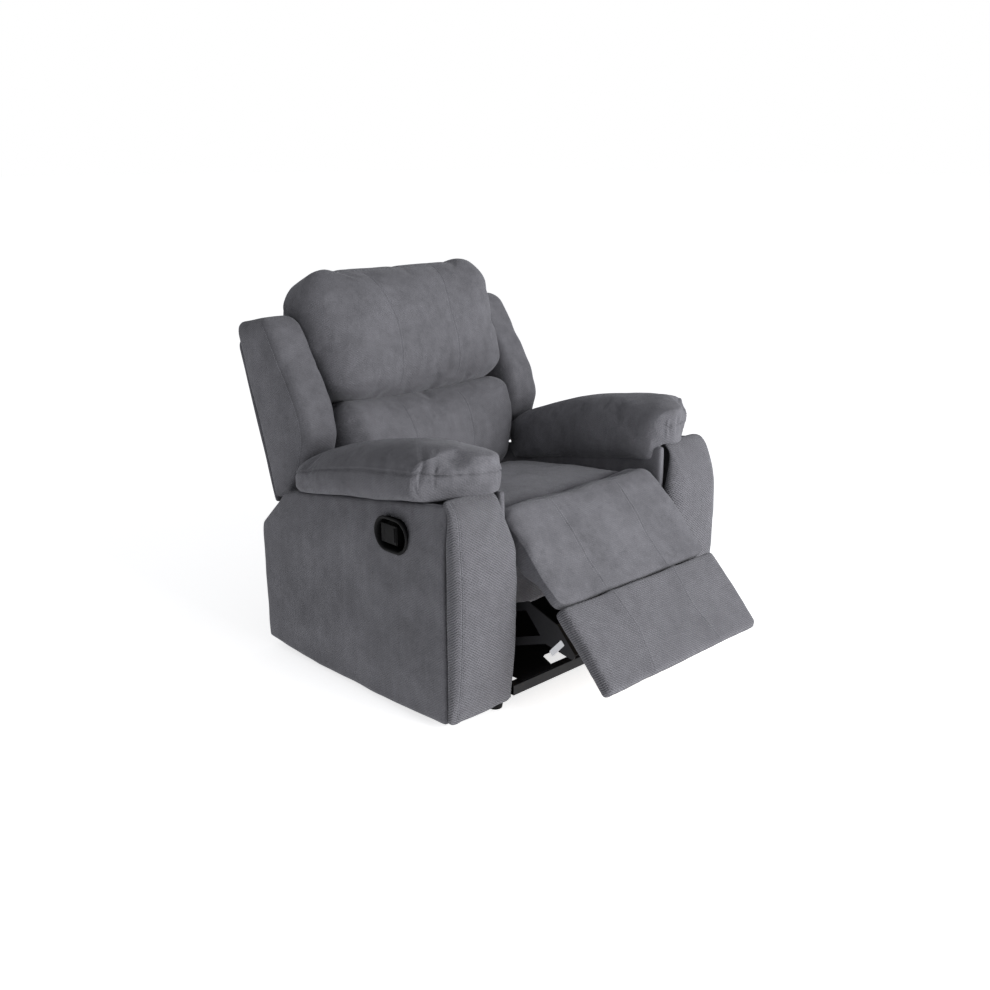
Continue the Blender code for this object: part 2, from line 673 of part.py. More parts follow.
def hang_all():
    """Puts every moving piece on its joint's axis."""
    pivots = crank_pivots()
    front_foot, front_head = rocker_ends(ROCKER_YS[0])
    rear_foot = rocker_ends(ROCKER_YS[1])[0]
    hang("axis_release_pull", place(-ARM_OUTER + PADDLE_DEPTH, (PADDLE_HINGE, CUP_CENTRE.y)), ("release_paddle",))
    hang("axis_rocker_rear", place(0, rear_foot), ("rocker_rear",))
    rocker = hang("axis_rocker_front", place(0, front_foot), ("rocker_front",))
    seat = hang("axis_seat", place(0, front_head), ("seat_", "sinuous_spring", "chaise_pad"), rocker)
    hang("axis_recline", place(0, RECLINE_PIVOT), ("back_", "head_cushion", "lumbar_cushion"), seat)
    hang("axis_footrest", place(0, TURN), ("footrest_",), seat)
    hang("axis_crank_front", place(0, pivots[0]), ("crank_front",), seat)
    crank = hang("axis_crank_rear", place(0, pivots[1]), ("crank_rear", "drive_tube"), seat)
    for u, level in zip(PIN_US, ("upper", "lower")):
        reach = board_point(u, PIN_STANDOFF) - TURN
        hang(f"axis_link_bar_{level}", place(0, pivots[1] + reach), (f"link_bar_{level}",), crank)


def main():
    for old in list(bpy.data.objects):
        bpy.data.objects.remove(old)
    fabric = material("grey_cord_fabric", (0.105, 0.105, 0.115), 0.9)
    wood = material("plywood", (0.55, 0.42, 0.28), 0.7)
    steel = material("black_steel", (0.012, 0.012, 0.014), 0.4, 0.9)
    plastic = material("black_plastic", (0.008, 0.008, 0.009), 0.35)
    rubber = material("black_cable", (0.01, 0.01, 0.01), 0.6)
    make_base(steel, plastic)
    for side in (-1, 1):
        make_arm(side, fabric)
    make_latch(plastic, rubber)
    make_rockers(steel)
    make_seat(wood, steel, fabric)
    make_chaise(fabric)
    make_footrest(wood, steel, fabric)
    make_linkage(steel)
    make_back(wood, steel, fabric)
    hang_all()


main()
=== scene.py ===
"""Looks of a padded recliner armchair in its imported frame: soft pieces, stitching, latch and steelwork."""

import logging
import math
from collections.abc import Callable, Sequence
from dataclasses import dataclass, field
from enum import Enum

import bmesh
import bpy
import numpy as np
from mathutils import Matrix, Vector
from mathutils.bvhtree import BVHTree
from mathutils.geometry import barycentric_transform


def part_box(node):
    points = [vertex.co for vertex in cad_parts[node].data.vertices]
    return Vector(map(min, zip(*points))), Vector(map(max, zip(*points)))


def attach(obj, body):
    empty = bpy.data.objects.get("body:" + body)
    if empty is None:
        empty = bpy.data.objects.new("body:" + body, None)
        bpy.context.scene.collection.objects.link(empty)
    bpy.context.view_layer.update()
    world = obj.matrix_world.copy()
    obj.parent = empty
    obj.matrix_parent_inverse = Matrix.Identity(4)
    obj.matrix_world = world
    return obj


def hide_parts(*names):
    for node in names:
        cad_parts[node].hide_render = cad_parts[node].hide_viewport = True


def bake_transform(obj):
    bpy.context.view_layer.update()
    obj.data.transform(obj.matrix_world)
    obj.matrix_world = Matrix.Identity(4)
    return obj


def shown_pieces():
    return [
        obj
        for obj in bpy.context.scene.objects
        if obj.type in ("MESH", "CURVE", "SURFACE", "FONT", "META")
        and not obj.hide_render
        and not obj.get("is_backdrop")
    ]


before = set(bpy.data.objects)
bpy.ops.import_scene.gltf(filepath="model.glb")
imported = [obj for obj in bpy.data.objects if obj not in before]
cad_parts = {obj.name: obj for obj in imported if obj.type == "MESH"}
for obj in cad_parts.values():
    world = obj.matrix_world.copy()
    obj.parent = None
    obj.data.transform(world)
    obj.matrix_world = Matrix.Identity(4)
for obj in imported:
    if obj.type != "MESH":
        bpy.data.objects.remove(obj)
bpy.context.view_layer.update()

LOG = logging.getLogger("recliner")

Pair = tuple[float, float]
Colour = tuple[float, float, float]

CLOTH_FRAMES = 20
FILL_PRESSURE = 4.0
CLOTH_MASS = 0.3
CLOTH_STRETCH = 12
CLOTH_SHEAR = 5
CLOTH_BEND = 0.4
THREAD_PITCH = 0.0048
THREAD_HALF = 0.00062
STITCH_ENDS = (0.18, 0.82)
TWIN_ROWS = (-0.0042, 0.0042)
SIDES = {"right": -1, "left": 1}


# ---------------------------------------------------------------- layout


@dataclass(frozen=True)
class Layout:
    """Places in the chair that the pieces are set out from, in metres.

    Side-on points are (y, z), with y counted from the arms' front plane towards the rear.
    """

    front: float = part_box("arm_outer_panel_left")[0][1] - 0.0245
    turn: Pair = (-0.083, 0.438)
    board_angle: float = math.radians(46.0)
    back_foot: Pair = (0.785, 0.397)
    back_angle: float = math.radians(18.0)

    def at(self, x: float, point: Pair) -> Vector:
        """The place of a side-on point at a distance across."""
        return Vector((x, self.front + point[0], point[1]))

    def board(self, u: float, n: float) -> Pair:
        """The side-on point u down the footrest and n out of its face."""
        c, s = math.cos(self.board_angle), math.sin(self.board_angle)
        return (self.turn[0] - c * u - s * n, self.turn[1] - s * u + c * n)

    def back(self, s: float, t: float) -> Pair:
        """The side-on point s up the back and t forward from its rear face."""
        c, d = math.cos(self.back_angle), math.sin(self.back_angle)
        return (self.back_foot[0] + d * s - c * t, self.back_foot[1] + c * s + d * t)

    def pad_underside(self, y: float) -> float:
        """Height of an arm's top edge, under its pad."""
        return 0.556 - 0.155 * y

    def deck(self, y: float) -> float:
        """Height of the seat box's top."""
        return 0.385 - 0.105 * (y - 0.035)


LAYOUT = Layout()


# ---------------------------------------------------------------- shader maths


class Wire:
    """A shader socket that Python's operators work on."""

    def __init__(self, tree: "ShaderTree", socket: bpy.types.NodeSocket) -> None:
        """Wraps one output socket of a tree."""
        self.tree = tree
        self.socket = socket

    def __add__(self, other: "Wire | float") -> "Wire":
        """self + other."""
        return self.tree.math("ADD", self, other)

    def __sub__(self, other: "Wire | float") -> "Wire":
        """self - other."""
        return self.tree.math("SUBTRACT", self, other)

    def __rsub__(self, other: float) -> "Wire":
        """other - self."""
        return self.tree.math("SUBTRACT", other, self)

    def __mul__(self, other: "Wire | float") -> "Wire":
        """self * other."""
        return self.tree.math("MULTIPLY", self, other)

    def __gt__(self, other: "Wire | float") -> "Wire":
        """1 where self is above other, else 0."""
        return self.tree.math("GREATER_THAN", self, other)

    def __abs__(self) -> "Wire":
        """Size of self without its sign."""
        return self.tree.math("ABSOLUTE", self)

    def sine(self) -> "Wire":
        """Sine of self, in radians."""
        return self.tree.math("SINE", self)

    __radd__ = __add__
    __rmul__ = __mul__


class ShaderTree:
    """One material's nodes, made through a single method."""

    def __init__(self, name: str) -> None:
        """Starts a material with nothing but its output."""
        self.material = bpy.data.materials.new(name)
        self.material.use_nodes = True
        self.nodes = self.material.node_tree.nodes
        self.links = self.material.node_tree.links
        self.nodes.clear()
        self.output = self.nodes.new("ShaderNodeOutputMaterial")

    def node(self, kind: str, settings: dict | None = None, inputs: dict | None = None) -> bpy.types.Node:
        """Adds a node.

        Args:
            kind: The node type's name.
            settings: Properties that are set first; a ramp's stops go under "stops".
            inputs: Values or wires for its sockets, by name or index.

        Returns:
            The new node.
        """
        made = self.nodes.new(kind)
        for key, value in (settings or {}).items():
            if key == "stops":
                ramp = made.color_ramp
                while len(ramp.elements) < len(value):
                    ramp.elements.new(0.5)
                for stop, (place, shade) in zip(ramp.elements, value):
                    stop.position = place
                    stop.color = (shade, shade, shade, 1.0)
            else:
                setattr(made, key, value)
        for key, value in (inputs or {}).items():
            if isinstance(value, Wire):
                self.links.new(value.socket, made.inputs[key])
            else:
                made.inputs[key].default_value = value
        return made

    def out(self, node: bpy.types.Node, name: str | int = 0) -> Wire:
        """One of a node's outputs as a wire."""
        return Wire(self, node.outputs[name])

    def place(self) -> Wire:
        """Where a point of the object is, in metres."""
        return self.out(self.node("ShaderNodeTexCoord"), "Object")

    def attribute(self, name: str, output: str) -> Wire:
        """A point attribute of the mesh."""
        return self.out(self.node("ShaderNodeAttribute", {"attribute_name": name}), output)

    def math(self, operation: str, *values: "Wire | float") -> Wire:
        """A Math node on numbers and wires."""
        return self.out(self.node("ShaderNodeMath", {"operation": operation}, dict(enumerate(values))))

    def noise(self, place: Wire, scale: float, detail: float = 2.0, rough: float = 0.5) -> Wire:
        """Noise from 0 to 1 over a place."""
        made = self.node("ShaderNodeTexNoise", {}, {"Vector": place, "Scale": scale, "Detail": detail,
                                                    "Roughness": rough})
        return self.out(made, "Fac")

    def stretch(self, place: Wire, factors: Colour) -> Wire:
        """A place scaled differently along each axis."""
        made = self.node("ShaderNodeVectorMath", {"operation": "MULTIPLY"}, {0: place, 1: factors})
        return self.out(made, "Vector")

    def ramp(self, value: Wire, stops: Sequence[Pair]) -> Wire:
        """A grey ramp through (position, shade) stops."""
        return self.out(self.node("ShaderNodeValToRGB", {"stops": stops}, {"Fac": value}), "Color")

    def shade(self, colour: Colour, amount: Wire) -> Wire:
        """A colour made lighter or darker by an amount around 1."""
        made = self.node("ShaderNodeVectorMath", {"operation": "SCALE"}, {0: colour, "Scale": amount})
        return self.out(made, "Vector")

    def mix(self, factor: Wire, first: "Colour | Wire", second: "Colour | Wire") -> Wire:
        """Colour between first, at 0, and second, at 1."""
        ends = [(*c, 1.0) if not isinstance(c, Wire) else c for c in (first, second)]
        made = self.node("ShaderNodeMix", {"data_type": "RGBA"}, {0: factor, 6: ends[0], 7: ends[1]})
        return self.out(made, 2)

    def bump(self, height: Wire, distance: float, strength: float = 1.0) -> Wire:
        """A bumped normal; height 1 stands distance metres proud."""
        made = self.node("ShaderNodeBump", {}, {"Height": height, "Distance": distance, "Strength": strength})
        return self.out(made, "Normal")

    def principled(self, **inputs: "Wire | float | Colour") -> bpy.types.Material:
        """Closes the tree with a Principled BSDF; an underscore in a name stands for a space.

        Returns:
            The finished material.
        """
        named = {key.replace("_", " "): (*v, 1.0) if isinstance(v, tuple) else v for key, v in inputs.items()}
        shader = self.node("ShaderNodeBsdfPrincipled", {}, named)
        self.links.new(shader.outputs[0], self.output.inputs["Surface"])
        return self.material


# ---------------------------------------------------------------- finishes


@dataclass(frozen=True)
class CordFabric:
    """A brushed cord cloth: soft nap in patches over fine slanting ribs."""

    name: str
    colour: Colour = (0.114, 0.113, 0.1245)
    ribs: float = 0.45
    rib_pitch: float = 0.0052
    nap: float = 0.52

    def material(self) -> bpy.types.Material:
        """The cloth's material, which follows the attributes of where and how each point lay when sewn, and
        darkens the seam creases with painted shade.
        """
        tree = ShaderTree(self.name)
        place, facing = (tree.attribute(f"weave_{what}", "Vector") for what in ("place", "facing"))
        # painted shade: how deep each point lies in a seam crease
        seam = tree.attribute("seam_shade", "Fac")
        spot, turn = (tree.node("ShaderNodeSeparateXYZ", {}, {0: wire}) for wire in (place, facing))
        x, y, z = (tree.out(spot, i) for i in range(3))
        nx, ny, nz = (abs(tree.out(turn, i)) for i in range(3))
        side = (nx > ny) * (nx > nz)
        top = (nz > ny * 1.35) * (nz > nx)
        across = y * side + x * (1.0 - side)
        along = y * top + z * (1.0 - top)
        wobble = tree.noise(place, 55.0, 2.0)
        turns = 2 * math.pi / self.rib_pitch
        stripes = ((across * 0.60 + along * 0.80) * turns + wobble * 5.0).sine()
        breaks = ((across * 0.80 - along * 0.60) * (turns / 1.6) + wobble * 7.0).sine()
        cord = stripes * (breaks * 0.35 + 0.65)
        patches = tree.noise(place, 7.5, 3.0, 0.55)
        mottle = tree.noise(place, 38.0, 3.0, 0.6)
        grain = tree.noise(place, 420.0, 2.0, 0.6)
        streaks = tree.noise(tree.stretch(place, (60.0, 60.0, 7.0)), 1.0, 2.0, 0.6)
        worn = tree.ramp(patches, [(0.30, 0.45), (0.60, 1.0)])
        amount = (1.0 + (patches - 0.5) * self.nap * 1.5 + (mottle - 0.5) * self.nap * 0.9
                  + (streaks - 0.5) * self.nap * 0.55 + (grain - 0.5) * 0.75
                  # partly the weave's own pattern, partly painted shade: the colour follows the rib relief,
                  # lighter on its crests and darker in its hollows
                  + cord * worn * (0.24 * self.ribs)
                  # painted shade: the colour is darkened in the seam creases
                  - seam * 0.16)
        height = cord * worn * (0.6 * self.ribs) + grain * 0.9 + mottle * 0.8
        normal = tree.bump(height, 0.0014, 1.0)
        return tree.principled(Base_Color=tree.shade(self.colour, amount), Roughness=0.93 - grain * 0.08,
                               Normal=normal, Sheen_Weight=0.22, Sheen_Roughness=0.4,
                               Sheen_Tint=(0.80, 0.81, 0.86), Specular_IOR_Level=0.12)


@dataclass(frozen=True)
class DustClothAndPaintedShade:
    """Black non-woven cloth, as under a chair, kept near-black so that it also paints the shade of the
    chair's inside.
    """

    # a dust cloth that also stands in for the shade of the chair's inside
    name: str = "black_dust_cloth"

    def material(self) -> bpy.types.Material:
        """The cloth's material."""
        tree = ShaderTree(self.name)
        place = tree.place()
        fibres = tree.noise(tree.stretch(place, (1.0, 1.6, 1.0)), 420.0, 3.0, 0.7)
        dust = tree.noise(place, 9.0, 4.0, 0.6)
        # near-black: partly the cloth's own colour, partly painted shade of the chair's dark inside
        return tree.principled(Base_Color=tree.shade((0.0042, 0.0042, 0.0052),
                                                     0.6 + fibres * 0.5 + dust * 0.4),
                               Roughness=0.95 - fibres * 0.1, Normal=tree.bump(fibres, 0.0004, 0.8),
                               Specular_IOR_Level=0.1)


@dataclass(frozen=True)
class BlackPaint:
    """Black powder paint over steel, with a fine peel texture, dusty patches and scuffed spots."""

    name: str = "black_paint"
    colour: Colour = (0.0065, 0.0065, 0.008)

    def material(self) -> bpy.types.Material:
        """The paint's material."""
        tree = ShaderTree(self.name)
        place = tree.place()
        peel = tree.noise(place, 900.0, 2.0, 0.5)
        scuffs = tree.ramp(tree.noise(tree.stretch(place, (1.0, 1.0, 2.4)), 70.0, 5.0, 0.65),
                           [(0.66, 0.0), (0.74, 1.0)])
        dust = tree.noise(place, 16.0, 4.0, 0.6)
        colour = tree.mix(scuffs * 0.3, self.colour, (0.09, 0.09, 0.10))
        return tree.principled(Base_Color=colour, Roughness=0.42 + dust * 0.30, Metallic=scuffs * 0.6,
                               Normal=tree.bump(peel, 0.0002, 0.6), Specular_IOR_Level=0.3)


@dataclass(frozen=True)
class MouldedPlastic:
    """Black moulded plastic with a fine spark-eroded grain."""

    name: str = "moulded_plastic"
    colour: Colour = (0.0025, 0.0025, 0.003)

    def material(self) -> bpy.types.Material:
        """The plastic's material."""
        tree = ShaderTree(self.name)
        place = tree.place()
        grain = tree.noise(place, 1500.0, 3.0, 0.6)
        smears = tree.noise(place, 45.0, 3.0, 0.5)
        return tree.principled(Base_Color=tree.shade(self.colour, 0.7 + smears * 0.5),
                               Roughness=0.50 + smears * 0.22, Normal=tree.bump(grain, 0.00015, 0.7),
                               Specular_IOR_Level=0.14)


@dataclass(frozen=True)
class Plywood:
    """Pale plywood with long grain and a few darker veins."""

    name: str = "plywood_board"

    def material(self) -> bpy.types.Material:
        """The board's material."""
        tree = ShaderTree(self.name)
        place = tree.place()
        long_grain = tree.noise(tree.stretch(place, (6.0, 90.0, 90.0)), 1.0, 6.0, 0.65)
        veins = tree.ramp(tree.noise(tree.stretch(place, (2.0, 40.0, 40.0)), 1.0, 3.0, 0.6),
                          [(0.45, 0.0), (0.7, 1.0)])
        pale = tree.mix(long_grain, (0.42, 0.30, 0.18), (0.62, 0.49, 0.33))
        colour = tree.mix(veins * 0.5, pale, (0.33, 0.22, 0.12))
        return tree.principled(Base_Color=colour, Roughness=0.62 + long_grain * 0.2,
                               Normal=tree.bump(long_grain, 0.0004, 0.8))


@dataclass(frozen=True)
class Rubbery:
    """A matt black jacket, as on a cable."""

    name: str = "cable_jacket"

    def material(self) -> bpy.types.Material:
        """The jacket's material."""
        tree = ShaderTree(self.name)
        place = tree.place()
        rub = tree.noise(place, 160.0, 4.0, 0.6)
        return tree.principled(Base_Color=tree.shade((0.012, 0.012, 0.013), 0.7 + rub * 0.6),
                               Roughness=0.5 + rub * 0.25, Normal=tree.bump(rub, 0.0002, 0.6))


@dataclass(frozen=True)
class Thread:
    """Twisted sewing thread, a shade paler than the cloth."""

    name: str = "sewing_thread"
    colour: Colour = (0.21, 0.21, 0.235)

    def material(self) -> bpy.types.Material:
        """The thread's material."""
        tree = ShaderTree(self.name)
        place = tree.place()
        twist = tree.noise(place, 1300.0, 2.0, 0.5)
        fade = tree.noise(place, 60.0, 2.0, 0.5)
        return tree.principled(Base_Color=tree.shade(self.colour, 0.55 + twist * 0.3 + fade * 0.6),
                               Roughness=0.75, Normal=tree.bump(twist, 0.0002, 0.8), Sheen_Weight=0.2)


@dataclass(frozen=True)
class PaperLabel:
    """A blank white paper label with a faintly soiled face."""

    name: str = "blank_label"

    def material(self) -> bpy.types.Material:
        """The label's material."""
        tree = ShaderTree(self.name)
        place = tree.place()
        soil = tree.noise(place, 120.0, 4.0, 0.6)
        return tree.principled(Base_Color=tree.shade((0.72, 0.73, 0.75), 0.85 + soil * 0.25), Roughness=0.55,
                               Normal=tree.bump(soil, 0.0001, 0.5))


class Wardrobe:
    """Every finish of the chair, made once."""

    def __init__(self) -> None:
        """Makes the materials."""
        self.nap = CordFabric("grey_cord_nap").material()
        self.ribbed = CordFabric("grey_cord_ribbed", ribs=1.7, nap=0.34).material()
        self.paint = BlackPaint().material()
        self.plastic = MouldedPlastic().material()
        self.wood = Plywood().material()
        self.dust_cloth = DustClothAndPaintedShade().material()
        self.cable = Rubbery().material()
        self.thread = Thread().material()
        self.label = PaperLabel().material()

    def by_slot(self) -> dict[str, bpy.types.Material]:
        """The finish of each of the record's material slots."""
        return {"grey_cord_fabric": self.nap, "plywood": self.wood, "black_steel": self.paint,
                "black_plastic": self.plastic, "black_cable": self.cable}


# ---------------------------------------------------------------- soft pieces


class Face(Enum):
    """A face of a soft piece as it was cut: (normal axis, sign, axis along a seam, axis across it)."""

    OVER = (2, 1, 1, 0)
    OUTER = (0, 1, 1, 2)
    INNER = (0, -1, 1, 2)
    START = (1, -1, 0, 2)
    END = (1, 1, 0, 2)


@dataclass(frozen=True)
class Seam:
    """A seam on one face of a soft piece.

    Attributes:
        face: The face it runs on.
        line: (along, across) points in metres in the piece's own flat layout.
        depth: How far it is pulled in.
        width: Half the width of the crease.
        dip: How far the padding round it sinks.
        rows: Distances of the stitch rows from the line; empty for none.
        gather: Height of the puckers that run off it.
        welt: How far a folded welt stands proud beside the crease.
    """

    face: Face
    line: Sequence[Pair]
    depth: float = 0.0022
    width: float = 0.0045
    dip: float = 0.0025
    rows: Sequence[float] = ()
    gather: float = 0.0006
    welt: float = 0.0


@dataclass(frozen=True)
class Rounding:
    """Radii in metres of a soft piece's edges, by the face they belong to."""

    outer: float = 0.02
    inner: float = 0.02
    start: float = 0.02
    end: float = 0.02
    under: float = 0.006
    over: float = 0.02


class Crumple:
    """Smooth repeatable noise over points in space."""

    SIZE = 24

    def __init__(self, seed: int) -> None:
        """Fills a lattice from a seed."""
        self.lattice = np.random.default_rng(seed).random((self.SIZE,) * 3) * 2 - 1

    def at(self, points: np.ndarray, *sizes: float) -> np.ndarray:
        """Noise from -1 to 1.

        Args:
            points: Rows of three coordinates.
            sizes: Size of one lump along each axis, or one size for all.

        Returns:
            One value a point.
        """
        scaled = points / np.array(sizes if len(sizes) == 3 else sizes * 3) + 100.37
        low = np.floor(scaled).astype(int)
        share = scaled - low
        share = share * share * (3 - 2 * share)
        total = np.zeros(len(points))
        for corner in np.ndindex(2, 2, 2):
            weight = np.prod(np.where(corner, share, 1 - share), axis=1)
            index = (low + corner) % self.SIZE
            total += weight * self.lattice[index[:, 0], index[:, 1], index[:, 2]]
        return total


def soft_step(values: np.ndarray, low: float, high: float) -> np.ndarray:
    """A smooth rise from 0 at low to 1 at high, or a fall where high is below low."""
    share = np.clip((values - low) / (high - low), 0, 1)
    return share * share * (3 - 2 * share)


def eased(points: Sequence[Sequence[float]], shares: np.ndarray, ease: float = 0.05) -> np.ndarray:
    """Points along a path of stations, with its corners eased.

    Args:
        points: The stations, rows of one or more numbers; the first column pair sets their spacing.
        shares: Where to read the path, from 0 to 1.
        ease: Share of the path over which a corner is rounded.

    Returns:
        One row a share.
    """
    stations = np.array(points, float)
    steps = np.linalg.norm(np.diff(stations[:, :4], axis=0), axis=1)
    knots = np.concatenate([[0], np.cumsum(steps)]) / steps.sum()
    fine = np.linspace(0, 1, 401)
    path = np.stack([np.interp(fine, knots, column) for column in stations.T], axis=1)
    reach = max(1, int(ease * 400))
    kernel = np.hanning(2 * reach + 3)[1:-1]
    kernel /= kernel.sum()
    ends = np.concatenate([2 * path[:1] - path[reach:0:-1], path, 2 * path[-1:] - path[-2:-reach - 2:-1]])
    smooth = np.stack([np.convolve(column, kernel, "valid") for column in ends.T], axis=1)
    return np.stack([np.interp(shares, fine, column) for column in smooth.T], axis=1)


def block_half(stations: Sequence[Sequence[float]]) -> np.ndarray:
    """Half the size of the block that a piece with these stations is cut from: across, along and through."""
    rows = np.array(stations, float)
    middle = (rows[:, :2] + rows[:, 2:4]) / 2
    along = np.linalg.norm(np.diff(middle, axis=0), axis=1).sum()
    through = np.linalg.norm(rows[:, :2] - rows[:, 2:4], axis=1).max()
    return np.array([rows[:, 4].max(), along / 2, through / 2])


@dataclass
class SoftPiece:
    """A padded piece that grows from a ruled block, laid between an under path and an over path seen side on.

    Attributes:
        name: The piece's name.
        stations: Rows of (under y, under z, over y, over z, half width), from its start to its end.
        side: 1, or -1 for a piece mirrored to the chair's right.
        middle: Distance of its middle from the chair's middle.
        cell: Size of its mesh faces before they are halved.
        rounding: Radii of its edges.
        swell: How far the filling pushes its broadest face out.
        seams: Its seams.
        rumple: Height of the slow unevenness of its padding.
        shaping: A last change of its shape, from points and their flat layout to points.
        seed: Where its noise starts.
        ease: Share of its length over which a bend between stations is rounded.
        pinned: Faces that stay where they are while it fills, besides its underside.
        piece: Its object, once made.
    """

    name: str
    stations: Sequence[tuple[float, float, float, float, float]]
    side: int = 1
    middle: float = 0.0
    cell: float = 0.0095
    rounding: Rounding = field(default_factory=Rounding)
    swell: float = 0.012
    seams: Sequence[Seam] = ()
    rumple: float = 0.0015
    shaping: Callable[[np.ndarray, np.ndarray], np.ndarray] | None = None
    seed: int = 1
    ease: float = 0.05
    pinned: Sequence[Face] = ()
    piece: bpy.types.Object | None = None

    def make(self) -> "SoftPiece":
        """Builds the ruled block, rounds its edges and lays it between its paths."""
        half = block_half(self.stations)
        bm = bmesh.new()
        bmesh.ops.create_cube(bm, size=2.0)
        bmesh.ops.scale(bm, vec=half, verts=bm.verts)
        for axis in range(3):
            rulings = [e for e in bm.edges if abs(e.verts[0].co[axis] - e.verts[1].co[axis]) > half[axis]]
            cuts = max(1, round(2 * half[axis] / self.cell) - 1)
            bmesh.ops.subdivide_edges(bm, edges=rulings, cuts=cuts, use_grid_fill=True)
        mesh = bpy.data.meshes.new(self.name)
        bm.to_mesh(mesh)
        bm.free()
        plan = np.empty(len(mesh.vertices) * 3, np.float32)
        mesh.vertices.foreach_get("co", plan)
        mesh.attributes.new("plan", "FLOAT_VECTOR", "POINT").data.foreach_set("vector", plan)
        plan = plan.reshape(-1, 3).astype(float)
        placed = self.lay(self.round_off(plan, half), half)
        if self.shaping:
            placed = self.shaping(placed, plan)
        mesh.vertices.foreach_set("co", placed.ravel())
        if self.side < 0:
            mesh.flip_normals()
        self.piece = bpy.data.objects.new(self.name, mesh)
        bpy.context.scene.collection.objects.link(self.piece)
        return self

    def round_off(self, plan: np.ndarray, half: np.ndarray) -> np.ndarray:
        """Rounds the block's edges, each to the radii of the faces that meet there."""
        r = self.rounding
        signs = plan > 0
        across = np.where(signs[:, 0], r.outer, r.inner)
        along = np.where(signs[:, 1], r.end, r.start)
        through = np.minimum(np.where(signs[:, 2], r.over, r.under), 1.3 * half[2])
        through = np.minimum(through, 2.6 * across)
        radii = np.minimum(np.stack([across, along, through], axis=1), half * 0.98)
        core = np.clip(plan, -(half - radii), half - radii)
        lean = (plan - core) / radii
        length = np.linalg.norm(lean, axis=1, keepdims=True)
        return core + lean / np.maximum(length, 1e-9) * radii

    def lay(self, block: np.ndarray, half: np.ndarray) -> np.ndarray:
        """Lays block points between the paths."""
        share = block / half
        rows = eased(self.stations, (share[:, 1] + 1) / 2, self.ease)
        lift = ((share[:, 2] + 1) / 2)[:, None]
        flat = rows[:, :2] * (1 - lift) + rows[:, 2:4] * lift
        x = self.side * (self.middle + share[:, 0] * rows[:, 4])
        return np.stack([x, LAYOUT.front + flat[:, 0], flat[:, 1]], axis=1)

    def load_cloth(self) -> None:
        """Fills the piece: a Cloth modifier under pressure, held where it rests on something."""
        mesh = self.piece.data
        plan = self.read("plan", 3)
        half = block_half(self.stations)
        held = plan[:, 2] < -half[2] + 1e-5
        for face in self.pinned:
            axis, sign = face.value[:2]
            held |= plan[:, axis] * sign > half[axis] - 1e-5
        group = self.piece.vertex_groups.new(name="held")
        group.add([int(i) for i in np.flatnonzero(held)], 1.0, "REPLACE")
        cloth = self.piece.modifiers.new("filling", "CLOTH")
        settings = cloth.settings
        settings.quality = 5
        settings.mass = CLOTH_MASS
        settings.tension_stiffness = settings.compression_stiffness = CLOTH_STRETCH
        settings.shear_stiffness = CLOTH_SHEAR
        settings.bending_stiffness = CLOTH_BEND
        settings.use_pressure = True
        settings.uniform_pressure_force = FILL_PRESSURE
        settings.effector_weights.gravity = 0.0
        settings.vertex_group_mass = "held"
        cloth.collision_settings.use_collision = False
        cloth.point_cache.frame_end = CLOTH_FRAMES
        self.start = self.read("co", 3)

    def settle(self) -> None:
        """Keeps the filled shape, its largest move scaled down to the swell, and drops the Cloth modifier."""
        mesh = self.piece.data
        filled = self.piece.evaluated_get(bpy.context.evaluated_depsgraph_get()).to_mesh()
        points = np.empty(len(filled.vertices) * 3, np.float32)
        filled.vertices.foreach_get("co", points)
        moved = points.reshape(-1, 3) - self.start
        most = np.percentile(np.linalg.norm(moved, axis=1), 99.5)
        LOG.info("%s filled: largest move %.1f mm, kept %.1f mm", self.name, most * 1e3,
                 min(most, self.swell) * 1e3)
        moved *= min(1.0, self.swell / max(most, 1e-6))
        mesh.vertices.foreach_set("co", (self.start + moved).astype(np.float32).ravel())
        self.piece.modifiers.remove(self.piece.modifiers["filling"])
        self.piece.vertex_groups.clear()

    def read(self, what: str, width: int) -> np.ndarray:
        """Rows of a vertex property or point attribute of the piece's mesh."""
        mesh = self.piece.data
        values = np.empty(len(mesh.vertices) * width, np.float32)
        if what in ("co", "normal"):
            mesh.vertices.foreach_get(what, values)
        else:
            mesh.attributes[what].data.foreach_get("vector", values)
        return values.reshape(-1, width).astype(float)

    def refine(self) -> None:
        """Halves the faces once with a smooth subdivision."""
        halve = self.piece.modifiers.new("halve", "SUBSURF")
        halve.levels = halve.render_levels = 1
        rough = self.piece.data
        evaluated = self.piece.evaluated_get(bpy.context.evaluated_depsgraph_get())
        self.piece.data = bpy.data.meshes.new_from_object(evaluated)
        self.piece.modifiers.clear()
        bpy.data.meshes.remove(rough)

    def sew(self) -> None:
        """Pulls in the seams, raises their puckers and welts, lets the padding lie a little uneven, and keeps
        the painted shade of the seam creases.
        """
        plan, points, normals = self.read("plan", 3), self.read("co", 3), self.read("normal", 3)
        half = block_half(self.stations)
        noise = Crumple(self.seed)
        push = noise.at(points, 0.11) * self.rumple + noise.at(points + 5, 0.045) * self.rumple * 0.45
